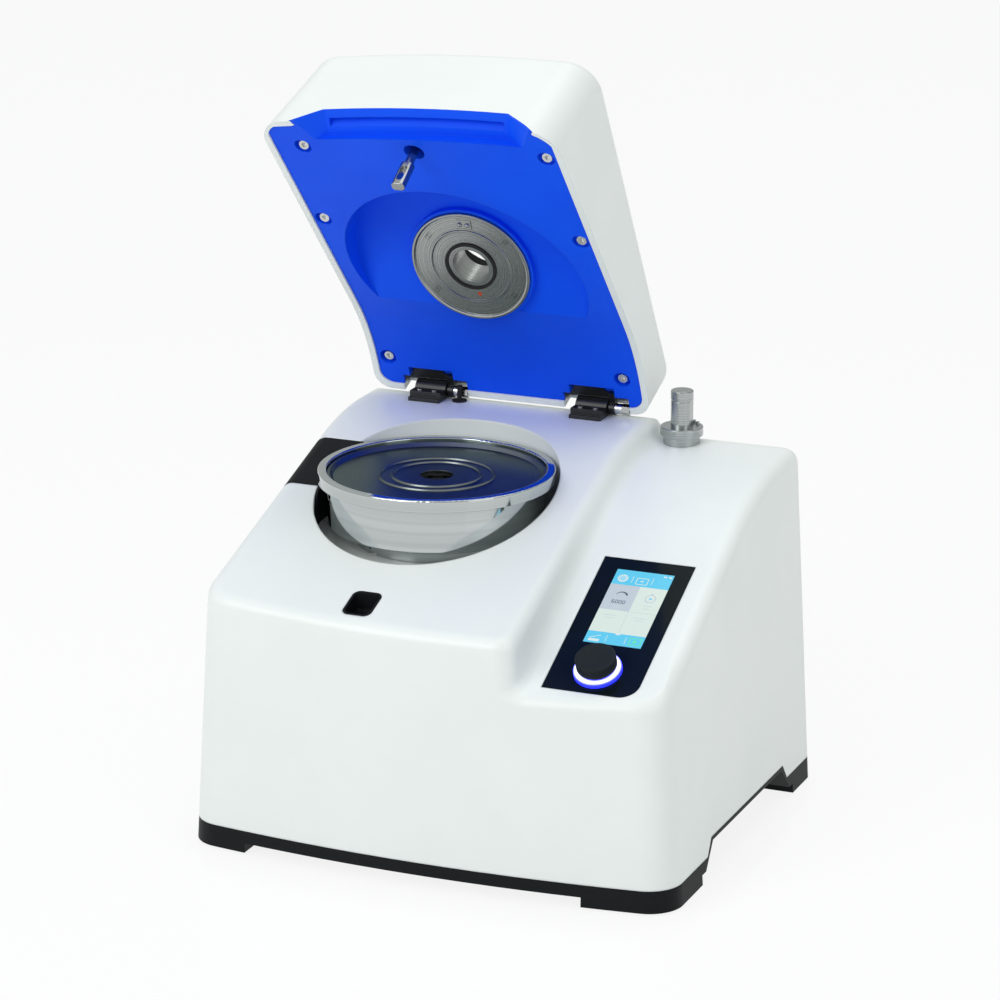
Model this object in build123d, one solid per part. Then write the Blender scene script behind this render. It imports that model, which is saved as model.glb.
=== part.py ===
from build123d import *
from math import cos, radians, sin, sqrt, tan
import os

# Bench-top ultra centrifugal mill, millimetres, floor at zero, front towards minus Y.
# The lid is drawn closed on the deck and then turned up to its open rest position.
# Depths are measured from the middle of the housing, and the last step moves all pieces
# so that the origin lies below the middle of the mill with its lid open.

# Housing
body_width = 465.0
body_depth = 401.0
open_overhang = 10.1
side_draft = 3.18
front_draft = 1.6
crown_radius = 1500.0
front_corner = 32.0
rear_corner = 17.0
shell_wall = 4.0
overrun = 30.0
fit_gap = 0.3
running_gap = 0.05

# Deck under the lid and console beside it, as profiles seen from the side
deck_top = 338.0
deck_flat_start = 150.0
deck_rise = 19.6
deck_blend = 253.0
deck_rear_round = 27.0
console_flat_start = 141.3
console_flat_height = 318.4
console_rise = 26.2
console_blend = 332.0
console_rear_rise = 3.5
console_rear_round = 7.0
step_x = 79.0
step_lean = 4.0
step_corner = 18.0
deck_edge_round = 14.0
console_edge_round = 14.0
step_foot_round = 13.0

# Base with its corner feet, arches and side hand recesses
band_top = 22.5
pad_height = 2.0
arch_rise = 9.0
arch_left = -172.0
arch_right = 152.0
tray_floor = 4.0
recess_height = 33.5
recess_depth = 34.0
recess_front = -104.0
recess_rear = 142.0
recess_slope = 30.0
recess_lip = 4.0
pad_radius = 13.0
pad_inset = 24.0
post_radius = 5.0
post_height = 5.0
post_x = 150.0
post_y = 145.0

# Well, pan, sieve and rotor share one upright axis
pan_x = -68.0
pan_y = 5.0
well_radius = 112.0
well_floor = 252.5
well_wall = 3.5
rim_top = 320.5
rim_radius = 108.0
rim_height = 11.0
rim_inner = 100.0
rim_round = 1.5
pan_radius = 99.0
pan_skin = 1.6
pan_bottom = 270.0
pan_cone = 9.0
pan_ring_radius = 74.0
pan_ring_width = 8.0
pan_plate_gap = 6.0
pan_plate = 3.5
pan_throat_gap = 1.5
ledge_width = 4.5
slot_angle = 213.0
slot_length = 17.0
slot_height = 9.0
slot_rise = 30.0
notch_angle = 242.0
notch_radius = 5.5

# Cover plate lying in the pan rim
cover_drop = 7.0
cover_skin = 2.0
cover_lip_width = 3.0
cover_lip_height = 3.5
cover_rim_gap = 0.5
cover_taper = 2.5
cover_hole = 15.0
cover_rings = (52.0, 40.0)
cover_ring_width = 1.8
cover_ring_rise = 1.5

# Ring sieve and push-on rotor
sieve_gap = 0.5
sieve_skin = 1.0
sieve_height = 40.0
sieve_band = 5.0
sieve_slots = 24
sieve_slot_width = 4.5
rotor_radius = 49.5
rotor_height = 34.0
rotor_base = 6.0
rotor_teeth = 12
tooth_root = 31.0
tooth_root_width = 3.0
tooth_tip_width = 9.0
rotor_ring_height = 4.0
rotor_ring_inner = 40.0
hub_radius = 17.0
hub_height = 22.0
hub_cone = 8.0
rotor_gap = 3.0
tip_radius = 8.0
labyrinth_skin = 4.0
labyrinth_gap = 1.5
neck_rise = 1.5
neck_radius = 44.0
seal_width = 8.0
seal_flange = 8.0

# Motor standing on rubber mounts under the well
shaft_radius = 12.0
lip_skin = 2.0
fin_root = 1.0
skirt_width = 3.0
hub_cap = 6.0
hub_round = 2.0
mount_height = 22.0
mount_radius = 9.0
mount_pitch = 84.0
mount_count = 4
shield_height = 14.0
shield_flange = 94.0
frame_height = 140.0
frame_radius = 78.0
frame_wall = 7.0
frame_fins = 18
fin_depth = 6.0
fin_width = 4.0
neck_bore_gap = 2.0
neck_wall = 12.0
stator_height = 84.0
stator_inner = 46.0
air_gap = 1.5
winding_inner = 50.0
winding_width = 16.0
winding_height = 13.0
bearing_outer = 26.0
bearing_width = 12.0
bearing_race = 3.5
bearing_neck_rise = 16.0
fan_radius = 62.0
fan_height = 14.0
fan_blades = 9
fan_blade = 2.5
fan_disc = 3.0
fan_hub = 20.0
fan_clear = 4.0

# Chassis plate with the electrical boxes
chassis_skin = 3.0
chassis_half_width = 184.0
chassis_front = -160.0
chassis_rear = 188.0
chassis_corner = 20.0
chassis_hole = 66.0
drive_x = 136.0
drive_y = 40.0
drive_width = 92.0
drive_length = 150.0
drive_height = 74.0
sink_height = 22.0
sink_base = 4.0
sink_fins = 11
sink_fin = 3.0
filter_x = 136.0
filter_y = 156.0
filter_width = 54.0
filter_length = 58.0
filter_height = 34.0
terminal_radius = 3.0
terminal_height = 8.0

# Suction outlet cover let into the left edge of the deck
outlet_front = -13.0
outlet_rear = 57.0
outlet_bottom = 286.0
outlet_x = -150.0
apron_skin = 2.5
apron_bottom = 262.0
apron_front = -40.0

# Lock funnel in the deck, latch below it and its hook
lock_x = -66.0
lock_y = -163.5
lock_width = 28.0
lock_length = 33.0
lock_corner = 7.0
lock_skin = 2.0
throat_width = 16.0
throat_length = 15.0
throat_y = -159.5
funnel_bottom = 224.0
latch_width = 34.0
latch_length = 36.0
latch_height = 38.0
latch_wall = 4.0
latch_motor_radius = 11.0
latch_motor_length = 44.0
latch_motor_rise = 16.0
hook_thickness = 4.5
hook_width = 5.0
hook_height = 23.8
hook_beak = 4.0
hook_beak_height = 5.0
hook_pivot_rise = 9.0
hook_pin = 2.5
hook_wall = 2.5
deck_drop = 4.0

# Glass panel, display and knob on the console
bezel_x = 150.0
bezel_width = 85.6
bezel_top_y = -23.5
bezel_length = 168.5
bezel_skin = 1.8
bezel_corner = 17.0
bezel_ledge = 4.0
display_width = 54.0
display_length = 94.0
display_offset = 14.0
display_shift = 1.0
module_margin = 4.0
module_depth = 7.0
board_width = 76.0
board_length = 156.0
board_skin = 1.6
knob_from_bottom = 28.0
knob_radius = 18.0
knob_top = 17.0
knob_round = 1.5
knob_dish = 0.8
knob_dish_margin = 3.0
knob_stem = 9.0
knob_travel = 1.5
ring_radius = 21.5
ring_width = 6.5
ring_height = 4.0
ring_round = 1.6
encoder_side = 14.0
encoder_bush = 5.0
encoder_bush_height = 6.0
encoder_shaft = 3.0
plunger_radius = 4.5
plunger_height = 2.0
plunger_drop = 2.0
knob_cap = 3.0
knob_lift = 0.7
stem_reach = 4.0

# Lid, drawn closed
hinge_y = 172.0
hinge_z = 345.0
lid_open = 68.0
lid_left = -209.0
lid_right = 77.0
lid_front = -209.5
lid_crown_x = 20.0
lid_crown_radius = 1300.0
lid_rear = 174.0
lid_gap = 3.5
lid_corner_front = 32.0
lid_corner_rear = 17.0
lid_top_y = -200.0
lid_top_z = 346.5
lid_top_rise = 8.6
lid_rear_round = 36.0
lid_edge_round = 9.0
lid_left_draft = 4.6
lid_wall = 3.5
rim_width = 6.2
rim_flange = 8.0
panel_gap = 0.3
panel_drop = 1.5
panel_skin = 3.0
panel_corner = 14.0

# Finger grip at the front of the lid
grip_left = -185.0
grip_left_bend = -150.0
grip_right = 58.0
grip_right_bend = 27.5
grip_side = 231.0
grip_rear = -150.0
grip_edge = 1.5
grip_bottom = 252.0
grip_ceiling = 261.0
grip_wall = 3.0
lip_width = 5.0
grip_low = 225.0
grip_crest = -198.5
grip_slope = 7.0
crown_half_turn = 12.0
lid_low = 180.0
lid_high = 420.0
panel_front = -184.0
panel_front_z = 241.0

# Round pocket over the pan, flange and feed opening
pocket_radius = 115.0
pocket_floor = 325.0
boss_radius = 60.5
boss_face = 319.5
flange_radius = 57.5
flange_face = 316.7
flange_top = 321.0
flange_lip = 3.0
flange_dish = 1.8
flange_ring = 38.5
flange_ring_width = 2.5
lip_step = 0.5
feed_radius = 17.5
feed_wall = 2.5
feed_top = 345.0
funnel_radius = 46.0
funnel_wall = 2.5
funnel_foot = 332.0
funnel_knee = 350.0
funnel_rise = 20.0
bore_seal_radius = 23.5
bore_seal_width = 3.0
bore_seal_height = 1.2
clip_width = 15.0
clip_length = 9.0
clip_skin = 1.0
clip_ball = 2.4
clip_radius = 45.8

# Eye bolt that drops into the lock funnel
eye_x = -66.0
eye_y = -165.0
eye_tilt = 12.0
eye_rod = 4.0
eye_rod_length = 16.0
eye_head_length = 27.0
eye_head_width = 12.0
eye_head_thickness = 9.0
eye_slot_width = 6.0
eye_slot_length = 17.0
eye_round = 1.0
eye_hole = 9.5
eye_guide_wall = 2.5
eye_guide_height = 20.0
eye_plate = 3.0
eye_nut_radius = 7.0
eye_nut_height = 6.0

# Screws that hold the inner panel
screw_places = [(-175.0, -160.0), (-190.0, -57.0), (-184.0, 138.0), (60.0, -171.0), (61.0, -58.0),
    (53.0, 136.0)]
screw_recess = 8.0
screw_recess_depth = 6.0
screw_recess_wall = 2.0
screw_head = 4.6
screw_head_height = 4.0
screw_socket = 2.4
screw_socket_depth = 2.5
screw_boss = 6.0

# Torque hinges at the rear of the deck
hinge_places = (-143.7, 19.4)
block_width = 31.0
block_front = 147.0
block_rear = 179.0
block_foot = 3.5
block_ledge_front = 151.0
block_ledge = 9.0
knuckle_radius = 9.0
knuckle_clear = 1.2
block_screw = 2.6
block_screw_height = 1.2
block_screw_pitch = 15.0
block_screw_y = 156.0
pin_radius = 4.0
pin_overhang = 2.0
pin_end = 21.0
collar_gap = 0.4
collar_width = 6.0
collar_radius = 6.2
sleeve_radius = 5.0
sleeve_width = 7.0
nut_radius = 5.4
leaf_skin = 2.0
leaf_front = 149.5
leaf_rear = 162.3
leaf_width = 31.0
leaf_shift = -4.2
leaf_clear = 1.5
notch_width = 65.0
notch_shift = 4.3
notch_front = 158.0
notch_clear = 2.5
stop_x = -113.5
stop_y = 163.4
stop_base = 7.0
stop_base_height = 1.4
stop_stem = 2.2
stop_height = 15.0
stop_tip = 3.0

# Rotor lifting tool in its seat on the console
tool_x = 107.0
tool_y = 171.0
tool_flange = 19.9
tool_flange_height = 8.7
tool_bottom = 327.3
tool_round = 1.0
tool_grip = 10.5
tool_grip_height = 34.0
tool_band = 8.5
tool_flat = 9.2
tool_groove = 0.8
tool_groove_height = 1.5
tool_seat = 17.0
tool_socket = 9.0
tool_socket_depth = 25.0
tool_peg = 6.0
tool_peg_length = 22.0
tool_pin = 1.6
tool_pin_height = 2.6
tool_pin_radius = 15.5
tool_pin_angles = (62.0, 38.0)

# Rear panel with vents, inlet, switch and fuses
rear_panel_x = 40.0
rear_panel_width = 250.0
rear_panel_bottom = 46.0
rear_panel_height = 165.0
rear_panel_skin = 2.0
rear_panel_ledge = 6.0
vent_x = -18.0
vent_slots = 14
vent_pitch = 9.0
vent_width = 4.0
vent_height = 42.0
vent_bottom = 140.0
inlet_x = 118.0
inlet_z = 84.0
inlet_width = 50.0
inlet_height = 28.0
inlet_flange = 2.0
inlet_body_width = 30.0
inlet_body_height = 23.0
inlet_depth = 28.0
inlet_socket_width = 24.0
inlet_socket_height = 16.5
inlet_socket_depth = 17.0
inlet_blade = 2.0
inlet_blade_height = 4.0
inlet_blade_pitch = 7.0
inlet_blade_rise = 2.0
switch_x = 60.0
switch_width = 24.0
switch_height = 30.0
switch_wall = 2.0
switch_depth = 22.0
rocker_radius = 11.0
rocker_turn = 14.0
rocker_pin = 2.0
fuse_x = 22.0
fuse_pitch = 22.0
fuse_radius = 7.0
fuse_cap = 4.0
fuse_depth = 26.0
fuse_wall = 1.5
rocker_width = 17.0

rear_y = body_depth / 2
front_y = -body_depth / 2
side_share = tan(radians(side_draft))
front_share = tan(radians(front_draft))
tray_top = pad_height + arch_rise + tray_floor
chassis_bottom = tray_top + post_height
chassis_top = chassis_bottom + chassis_skin
shield_bottom = chassis_top + mount_height
frame_bottom = shield_bottom + shield_height
frame_top = frame_bottom + frame_height
neck_bottom = frame_top + shield_height
neck_top = well_floor + neck_rise
labyrinth_bottom = neck_top + labyrinth_gap
labyrinth_top = labyrinth_bottom + labyrinth_skin
rotor_bottom = labyrinth_top + rotor_gap
pan_foot = well_floor + fit_gap
pan_plate_bottom = pan_foot + pan_plate_gap
pan_ledge = pan_plate_bottom + pan_plate
throat_radius = rotor_radius + pan_throat_gap
cover_top = rim_top - cover_drop
cover_bottom = cover_top - cover_skin
sieve_inner = throat_radius + sieve_gap
sieve_outer = sieve_inner + sieve_skin
sieve_top = pan_ledge + sieve_height
panel_bottom = lid_gap + panel_drop
panel_top = panel_bottom + panel_skin
latch_y = throat_y - (latch_length - throat_length) / 4
lower_bearing = frame_bottom - bearing_width
upper_bearing = neck_bottom + bearing_neck_rise
stator_bottom = (frame_bottom + frame_top - stator_height) / 2
shaft_bottom = chassis_top + neck_bore_gap
hook_pivot_y = latch_y - hook_width
display_up = bezel_length / 2 - display_offset - display_length / 2
knob_up = knob_from_bottom - bezel_length / 2
plunger_top = -bezel_skin - plunger_drop
leaf_bottom = hinge_z + block_foot


def box_between(x_range, y_range, z_range):
    """A box from its limits on the three axes."""
    ranges = (x_range, y_range, z_range)
    size = [high - low for low, high in ranges]
    middle = [(high + low) / 2 for low, high in ranges]
    return Pos(*middle) * Box(*size)


def upright(x, y, radius, bottom, top):
    """A vertical cylinder between two heights."""
    return Pos(x, y, (bottom + top) / 2) * Cylinder(radius, top - bottom)


def tube(x, y, outer, inner, bottom, top):
    """A vertical tube between two heights."""
    return upright(x, y, outer, bottom, top) - upright(x, y, inner, bottom - overrun, top + overrun)


def level(radius, left, right, y, z):
    """A cylinder along X between two places."""
    return Pos((left + right) / 2, y, z) * Rot(0, 90, 0) * Cylinder(radius, right - left)


def turned(points):
    """A solid turned about the pan axis from radius and height pairs."""
    profile = make_face(Polyline(*[(r, 0, z) for r, z in points], close=True))
    return Pos(pan_x, pan_y, 0) * revolve(profile, axis=Axis.Z)


def side_prism(points, left, right):
    """A prism along X from depth and height pairs."""
    profile = make_face(Polyline(*[(left, y, z) for y, z in points], close=True))
    return extrude(profile, amount=right - left, dir=(1, 0, 0))


def plan_prism(points, bottom, top):
    """A vertical prism from plan points."""
    profile = make_face(Polyline(*[(x, y, bottom) for x, y in points], close=True))
    return extrude(profile, amount=top - bottom, dir=(0, 0, 1))


def around_pan(shape, count, start=0):
    """Copies of a shape spaced evenly about the pan axis, fused."""
    axis = Axis((pan_x, pan_y, 0), (0, 0, 1))
    copies = [shape.rotate(axis, start + 360 / count * k) for k in range(count)]
    return copies[0] + copies[1:]


def opened(shape):
    """A lid piece carried from the closed drawing to the open rest position."""
    return shape.rotate(Axis((0, hinge_y, hinge_z), (1, 0, 0)), -lid_open)


# Profiles of the deck and console
def arc_point(start, from_angle, to_angle, radius):
    """Where a clockwise arc that starts along one angle ends along another."""
    y, z = start
    return (
        y + radius * (sin(radians(from_angle)) - sin(radians(to_angle))),
        z + radius * (cos(radians(to_angle)) - cos(radians(from_angle))),
    )


def side_solid(edges_of, x=-body_width):
    """A full-width prism whose side outline is made by a function of a point placer."""
    def at(point):
        return (x, point[0], point[1])

    return extrude(make_face(edges_of(at)), amount=2 * body_width, dir=(1, 0, 0))


def ridge(flat_y, flat_z, rise, blend, rear_rise, drop):
    """Solid below a rising and then flattening top line, over the full width."""
    knee = (
        flat_y - blend * (sin(radians(rise)) - sin(radians(rear_rise))),
        flat_z - drop - blend * (cos(radians(rear_rise)) - cos(radians(rise))),
    )
    middle = arc_point(knee, rise, (rise + rear_rise) / 2, blend)
    crest = (flat_y, flat_z - drop)
    low_y = front_y - overrun
    start = (low_y, knee[1] + (low_y - knee[0]) * tan(radians(rise)))
    end_y = rear_y + overrun
    end = (end_y, crest[1] + (end_y - flat_y) * tan(radians(rear_rise)))

    def edges_of(at):
        return [
            Line(at(start), at(knee)),
            ThreePointArc(at(knee), at(middle), at(crest)),
            Line(at(crest), at(end)),
            Line(at(end), at((end_y, -overrun))),
            Line(at((end_y, -overrun)), at((low_y, -overrun))),
            Line(at((low_y, -overrun)), at(start)),
        ]

    return side_solid(edges_of)


def deck_ridge(drop=0):
    """Everything below the deck surface."""
    return ridge(deck_flat_start, deck_top, deck_rise, deck_blend, 0, drop)


def console_ridge(drop=0):
    """Everything below the console surface."""
    return ridge(console_flat_start, console_flat_height, console_rise, console_blend,
        console_rear_rise, drop)


def deck_layer(low, high):
    """The layer between two heights above the deck surface."""
    return deck_ridge(-high) - deck_ridge(-low)


def rear_trim(end_y, top, rise, radius):
    """Space in front of an upright rear face, with its top edge rounded."""
    start_y = end_y - radius * (1 + sin(radians(rise)))
    start = (start_y, top)
    middle = arc_point(start, rise, (rise - 90) / 2, radius)
    end = arc_point(start, rise, -90, radius)
    low_y = front_y - overrun
    low = (low_y, top + (low_y - start_y) * tan(radians(rise)) + overrun)
    lifted = (start_y, top + overrun)

    def edges_of(at):
        return [
            Line(at(low), at(lifted)),
            Line(at(lifted), at(start)),
            ThreePointArc(at(start), at(middle), at(end)),
            Line(at(end), at((end_y, -overrun))),
            Line(at((end_y, -overrun)), at((low_y, -overrun))),
            Line(at((low_y, -overrun)), at(low)),
        ]

    return side_solid(edges_of)


def profile_height(y, flat_y, flat_z, rise, blend, rear_rise):
    """Height of a ridge's top line at a depth."""
    knee_y = flat_y - blend * (sin(radians(rise)) - sin(radians(rear_rise)))
    knee_z = flat_z - blend * (cos(radians(rear_rise)) - cos(radians(rise)))
    if y > flat_y:
        return flat_z + (y - flat_y) * tan(radians(rear_rise))
    if y < knee_y:
        return knee_z + (y - knee_y) * tan(radians(rise))
    centre_y = flat_y + blend * sin(radians(rear_rise))
    centre_z = flat_z - blend * cos(radians(rear_rise))
    return centre_z + sqrt(blend**2 - (y - centre_y) ** 2)


def deck_height(y):
    """Height of the deck surface at a depth."""
    return profile_height(y, deck_flat_start, deck_top, deck_rise, deck_blend, 0)


def console_height(y):
    """Height of the console surface at a depth."""
    flat = (console_flat_start, console_flat_height)
    return profile_height(y, *flat, console_rise, console_blend, console_rear_rise)


# Housing
def outline(height, inset):
    """Plan outline of the housing at a height, drafted at the sides and front."""
    half = body_width / 2 - height * side_share - inset
    crown = front_y + height * front_share + inset
    radius = crown_radius - inset
    corner_y = crown + radius - sqrt(radius**2 - half**2)
    back = rear_y + overrun
    edges = [
        ThreePointArc((-half, corner_y), (0, crown), (half, corner_y)),
        Line((half, corner_y), (half, back)),
        Line((half, back), (-half, back)),
        Line((-half, back), (-half, corner_y)),
    ]
    face = make_face(edges)
    face = fillet([v for v in face.vertices() if v.Y < 0], front_corner - inset)
    return Pos(0, 0, height) * face


def drafted_block(bottom, top, inset):
    """The drafted body between two heights, open-ended towards the rear."""
    return loft([outline(bottom, inset), outline(top, inset)], ruled=True)


def left_of_step(inset):
    """Space to the left of the leaning wall between deck and console."""
    x_top = step_x - inset
    x_bottom = x_top + deck_top * tan(radians(step_lean))
    x_left = -body_width
    high = 2 * deck_top
    points = [(x_top, deck_top), (x_bottom, 0), (x_left, 0), (x_left, high), (x_top, high)]
    face = make_face(Polyline(*[(x, -body_depth, z) for x, z in points], close=True))
    return extrude(face, amount=2 * body_depth, dir=(0, 1, 0))


def lies_on(edge, height_at, drop):
    """Whether an edge runs along a surface given by its height at each depth."""
    middle = edge.position_at(0.5)
    return middle.Y < rear_y + overrun / 2 and abs(middle.Z - height_at(middle.Y) + drop) < step_corner / 4


def everything(low_x=-body_width, high_y=body_depth):
    """A block far larger than the mill, cut short to the left or rear."""
    return box_between((low_x, body_width), (-body_depth, high_y), (0, body_width))


def deck_part(block, inset):
    """The part of the body under the deck, with its upright corner at the step rounded."""
    deck = block & deck_ridge(inset) & left_of_step(inset)
    corner = [e for e in deck.edges() if e.length > deck_top / 2 and e.center().Y < front_y / 2]
    corner = [e for e in corner if e.center().X > step_x - step_corner]
    return fillet(corner, step_corner - inset)


def console_part(block, inset):
    """The part of the body under the console, reaching in under the deck."""
    return block & console_ridge(inset) & everything(step_x / 2)


def rounded_deck_rim(form, inset):
    """A form with the edges round the deck rounded."""
    rim = [e for e in form.edges() if lies_on(e, deck_height, inset)]
    rim = [e for e in rim if abs(e.position_at(0.5).X - pan_x) > well_radius
        or e.position_at(0.5).Y < front_y / 2]
    return fillet(rim, deck_edge_round - inset)


def rounded_console_rim(form, inset):
    """A form with the outer edges of the console rounded."""
    edge = [e for e in form.edges() if lies_on(e, console_height, inset)]
    edge = [e for e in edge if e.position_at(0.5).X > step_x + step_corner - 2 * inset]
    return fillet([e for e in edge if e.geom_type != GeomType.LINE], console_edge_round - inset)


def closed_at_rear(form, inset):
    """A form cut off at the rear, with its upright and top rear edges rounded."""
    back = rear_y - inset
    form = form & everything(high_y=back)
    tall = [e for e in form.edges() if e.length > deck_top / 2 and abs(e.position_at(0.5).X) > body_width / 4]
    tall = [e for e in tall if e.center().Y > back - fit_gap and e.center().Z > band_top]
    form = fillet(tall, rear_corner - inset)
    rear = rear_trim(back, deck_top - inset, 0, deck_rear_round - inset)
    low = rear_trim(back, console_height(rear_y) - inset, console_rear_rise, console_rear_round)
    split = everything(step_x + step_foot_round)
    return form & ((rear - split) + (low & split))


def body_form():
    """Deck and console in one, with the step, its foot and the top edges rounded."""
    block = drafted_block(0, deck_top + overrun, 0)
    form = deck_part(block, 0) + console_part(block, 0)
    foot = [e for e in form.edges() if lies_on(e, console_height, 0)]
    foot = [e for e in foot if step_x < e.position_at(0.5).X < step_x + step_corner]
    form = fillet(foot, step_foot_round)
    return closed_at_rear(rounded_console_rim(rounded_deck_rim(form, 0), 0), 0)


def body_hollows():
    """Spaces inside the housing, one wall away from the body form, below deck and below console."""
    block = drafted_block(0, deck_top + overrun, shell_wall)
    deck = rounded_deck_rim(deck_part(block, shell_wall), shell_wall)
    console = rounded_console_rim(console_part(block, shell_wall), shell_wall)
    return closed_at_rear(deck, shell_wall), closed_at_rear(console, shell_wall)


def lip_outline(offset):
    """Side hand recess, grown by an offset, as depth and height pairs."""
    return [
        (recess_front - offset, -offset),
        (recess_front + recess_slope - offset, recess_height + offset),
        (recess_rear - recess_slope + offset, recess_height + offset),
        (recess_rear + offset, -offset),
    ]


def hand_recesses(offset, depth):
    """Both side hand recesses as prisms reaching in from the sides."""
    right = side_prism(lip_outline(offset), body_width / 2 - depth, body_width)
    return right + mirror(right, about=Plane.YZ)


def outlet_region(gap):
    """Region of the housing skin that the outlet cover replaces."""
    depth = (outlet_front - gap, outlet_rear + gap)
    return box_between((-body_width, outlet_x), depth, (outlet_bottom - gap, deck_top + overrun))


def lock_mouth(gap):
    """Rounded upright prism of the lock funnel's mouth."""
    face = RectangleRounded(lock_width - 2 * gap, lock_length - 2 * gap, lock_corner - gap)
    return Pos(lock_x, lock_y, well_wall) * extrude(face, amount=deck_top)


def on_console(along, shape):
    """A shape drawn flat, placed on the console's sloping face below the glass panel's top edge."""
    y = bezel_top_y - along * cos(radians(console_rise))
    return Pos(bezel_x, y, console_height(y)) * Rot(console_rise, 0, 0) * shape


def glass_outline(margin):
    """Outline of the glass panel with its one large corner, lying flat."""
    half_x = bezel_width / 2 - margin
    half_y = bezel_length / 2 - margin
    corner = bezel_corner - margin
    inner = corner * (1 - sqrt(1 / 2))
    return make_face([
        Line((-half_x, half_y), (half_x, half_y)),
        Line((half_x, half_y), (half_x, corner - half_y)),
        ThreePointArc((half_x, corner - half_y), (half_x - inner, inner - half_y), (half_x - corner,
            -half_y)),
        Line((half_x - corner, -half_y), (-half_x, -half_y)),
        Line((-half_x, -half_y), (-half_x, half_y)),
    ])


def glass_pocket():
    """Pocket for the glass panel and the window behind it."""
    pocket = extrude(glass_outline(0), amount=bezel_skin + overrun / 2)
    window = extrude(glass_outline(bezel_ledge), amount=overrun)
    pocket = Pos(0, 0, -bezel_skin) * pocket + Pos(0, 0, -overrun / 2) * window
    return on_console(bezel_length / 2, pocket)


def rear_window(margin, front, back):
    """A box as wide as the rear panel less a margin, between two depths."""
    half = rear_panel_width / 2 - margin
    top = rear_panel_bottom + rear_panel_height - margin
    return box_between((rear_panel_x - half, rear_panel_x + half), (front, back),
        (rear_panel_bottom + margin, top))


def housing_shell(form, hollows):
    """White moulded housing with deck, well and console."""
    tub = upright(pan_x, pan_y, well_radius + well_wall, well_floor - well_wall, deck_top + overrun)
    shell = form
    for hollow in hollows:
        shell -= hollow
    shell += tub & form
    shell -= upright(pan_x, pan_y, well_radius, well_floor, deck_top + overrun)
    shell -= upright(pan_x, pan_y, neck_radius + seal_width, 0, deck_top)
    shell -= box_between((-body_width, body_width), (-body_depth, body_depth), (-overrun, band_top))
    shell -= hand_recesses(recess_lip, body_width)
    shell -= lock_mouth(0)
    shell -= glass_pocket()
    shell -= rear_window(0, rear_y - rear_panel_skin, body_depth)
    shell -= rear_window(rear_panel_ledge, rear_y - overrun, body_depth)
    shell -= upright(tool_x, tool_y, tool_socket, chassis_top, deck_top)
    return shell


def outlet_cover(shell, form):
    """Black cover of the suction outlet with its apron down the well wall."""
    plate = shell & outlet_region(0)
    inner = well_radius - apron_skin
    apron = tube(pan_x, pan_y, well_radius, inner, apron_bottom, deck_top) & form
    slope = (outlet_front - apron_front) / (deck_top - well_floor)
    low_y = apron_front + slope * (apron_bottom - well_floor)
    sector = [(low_y, apron_bottom), (outlet_front, deck_top), (outlet_rear, deck_top), (outlet_rear,
        apron_bottom)]
    return plate + (apron & side_prism(sector, -body_width, outlet_x))


# Base
def tray_body():
    """Base block under the housing, drafted with it."""
    trimmed = drafted_block(pad_height, band_top + recess_height, 0) & everything(high_y=rear_y)
    tall = [e for e in trimmed.edges() if e.center().Y > rear_y - fit_gap
        and abs(e.center().X) > body_width / 4]
    tall = [e for e in tall if e.length > recess_height
        and abs(e.position_at(1).Z - e.position_at(0).Z) > band_top]
    return fillet(tall, rear_corner)


def base_tray():
    """Black base with four corner feet, arches and side hand recesses."""
    block = tray_body()
    low = block & box_between((-body_width, body_width), (-body_depth, body_depth), (0, band_top))
    pocket_limit = hand_recesses(recess_lip, recess_depth + recess_lip)
    raised = block & pocket_limit
    inner = drafted_block(tray_top, band_top + overrun, shell_wall) & everything(high_y=rear_y - shell_wall)
    tray = low - inner + raised
    tray -= hand_recesses(0, recess_depth)
    across = box_between((-body_width, body_width), (recess_front, recess_rear), (-overrun,
        pad_height + arch_rise))
    along = box_between((arch_left, arch_right), (-body_depth, body_depth), (-overrun,
        pad_height + arch_rise))
    tray = tray - across - along
    for side in (-1, 1):
        for y in (-post_y, 0, post_y):
            tray += upright(side * post_x, y, post_radius, tray_top, chassis_bottom)
    return tray


def pad_places():
    """Middle of each rubber foot pad."""
    left = -body_width / 2 + pad_inset
    right = body_width / 2 - pad_inset
    front = front_y + pad_inset + front_corner
    rear = rear_y - pad_inset
    return [(left, front), (right, front), (left, rear), (right, rear)]


def foot_pads():
    """Four rubber pads under the corner feet."""
    return [upright(x, y, pad_radius, 0, pad_height) for x, y in pad_places()]


def chassis_plate():
    """Steel plate that carries the motor and the electrical boxes."""
    length = chassis_rear - chassis_front
    face = RectangleRounded(2 * chassis_half_width, length, chassis_corner)
    plate = Pos(0, (chassis_front + chassis_rear) / 2, chassis_bottom) * extrude(face, amount=chassis_skin)
    return plate - upright(pan_x, pan_y, chassis_hole, 0, deck_top)


# Motor
def mount_places():
    """Middle of each rubber mount about the pan axis."""
    turns = [45 + 360 / mount_count * k for k in range(mount_count)]
    return [(pan_x + mount_pitch * cos(radians(a)), pan_y + mount_pitch * sin(radians(a))) for a in turns]


def motor_mounts():
    """Rubber mounts between chassis plate and motor."""
    return [upright(x, y, mount_radius, chassis_top, shield_bottom) for x, y in mount_places()]


def lower_end_shield():
    """Lower motor flange with the seat of the lower bearing."""
    plate = tube(pan_x, pan_y, shield_flange, bearing_outer, shield_bottom, frame_bottom)
    lip = tube(pan_x, pan_y, bearing_outer + bearing_race, shaft_radius + fan_disc,
        lower_bearing - lip_skin, lower_bearing)
    return plate + lip


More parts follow.
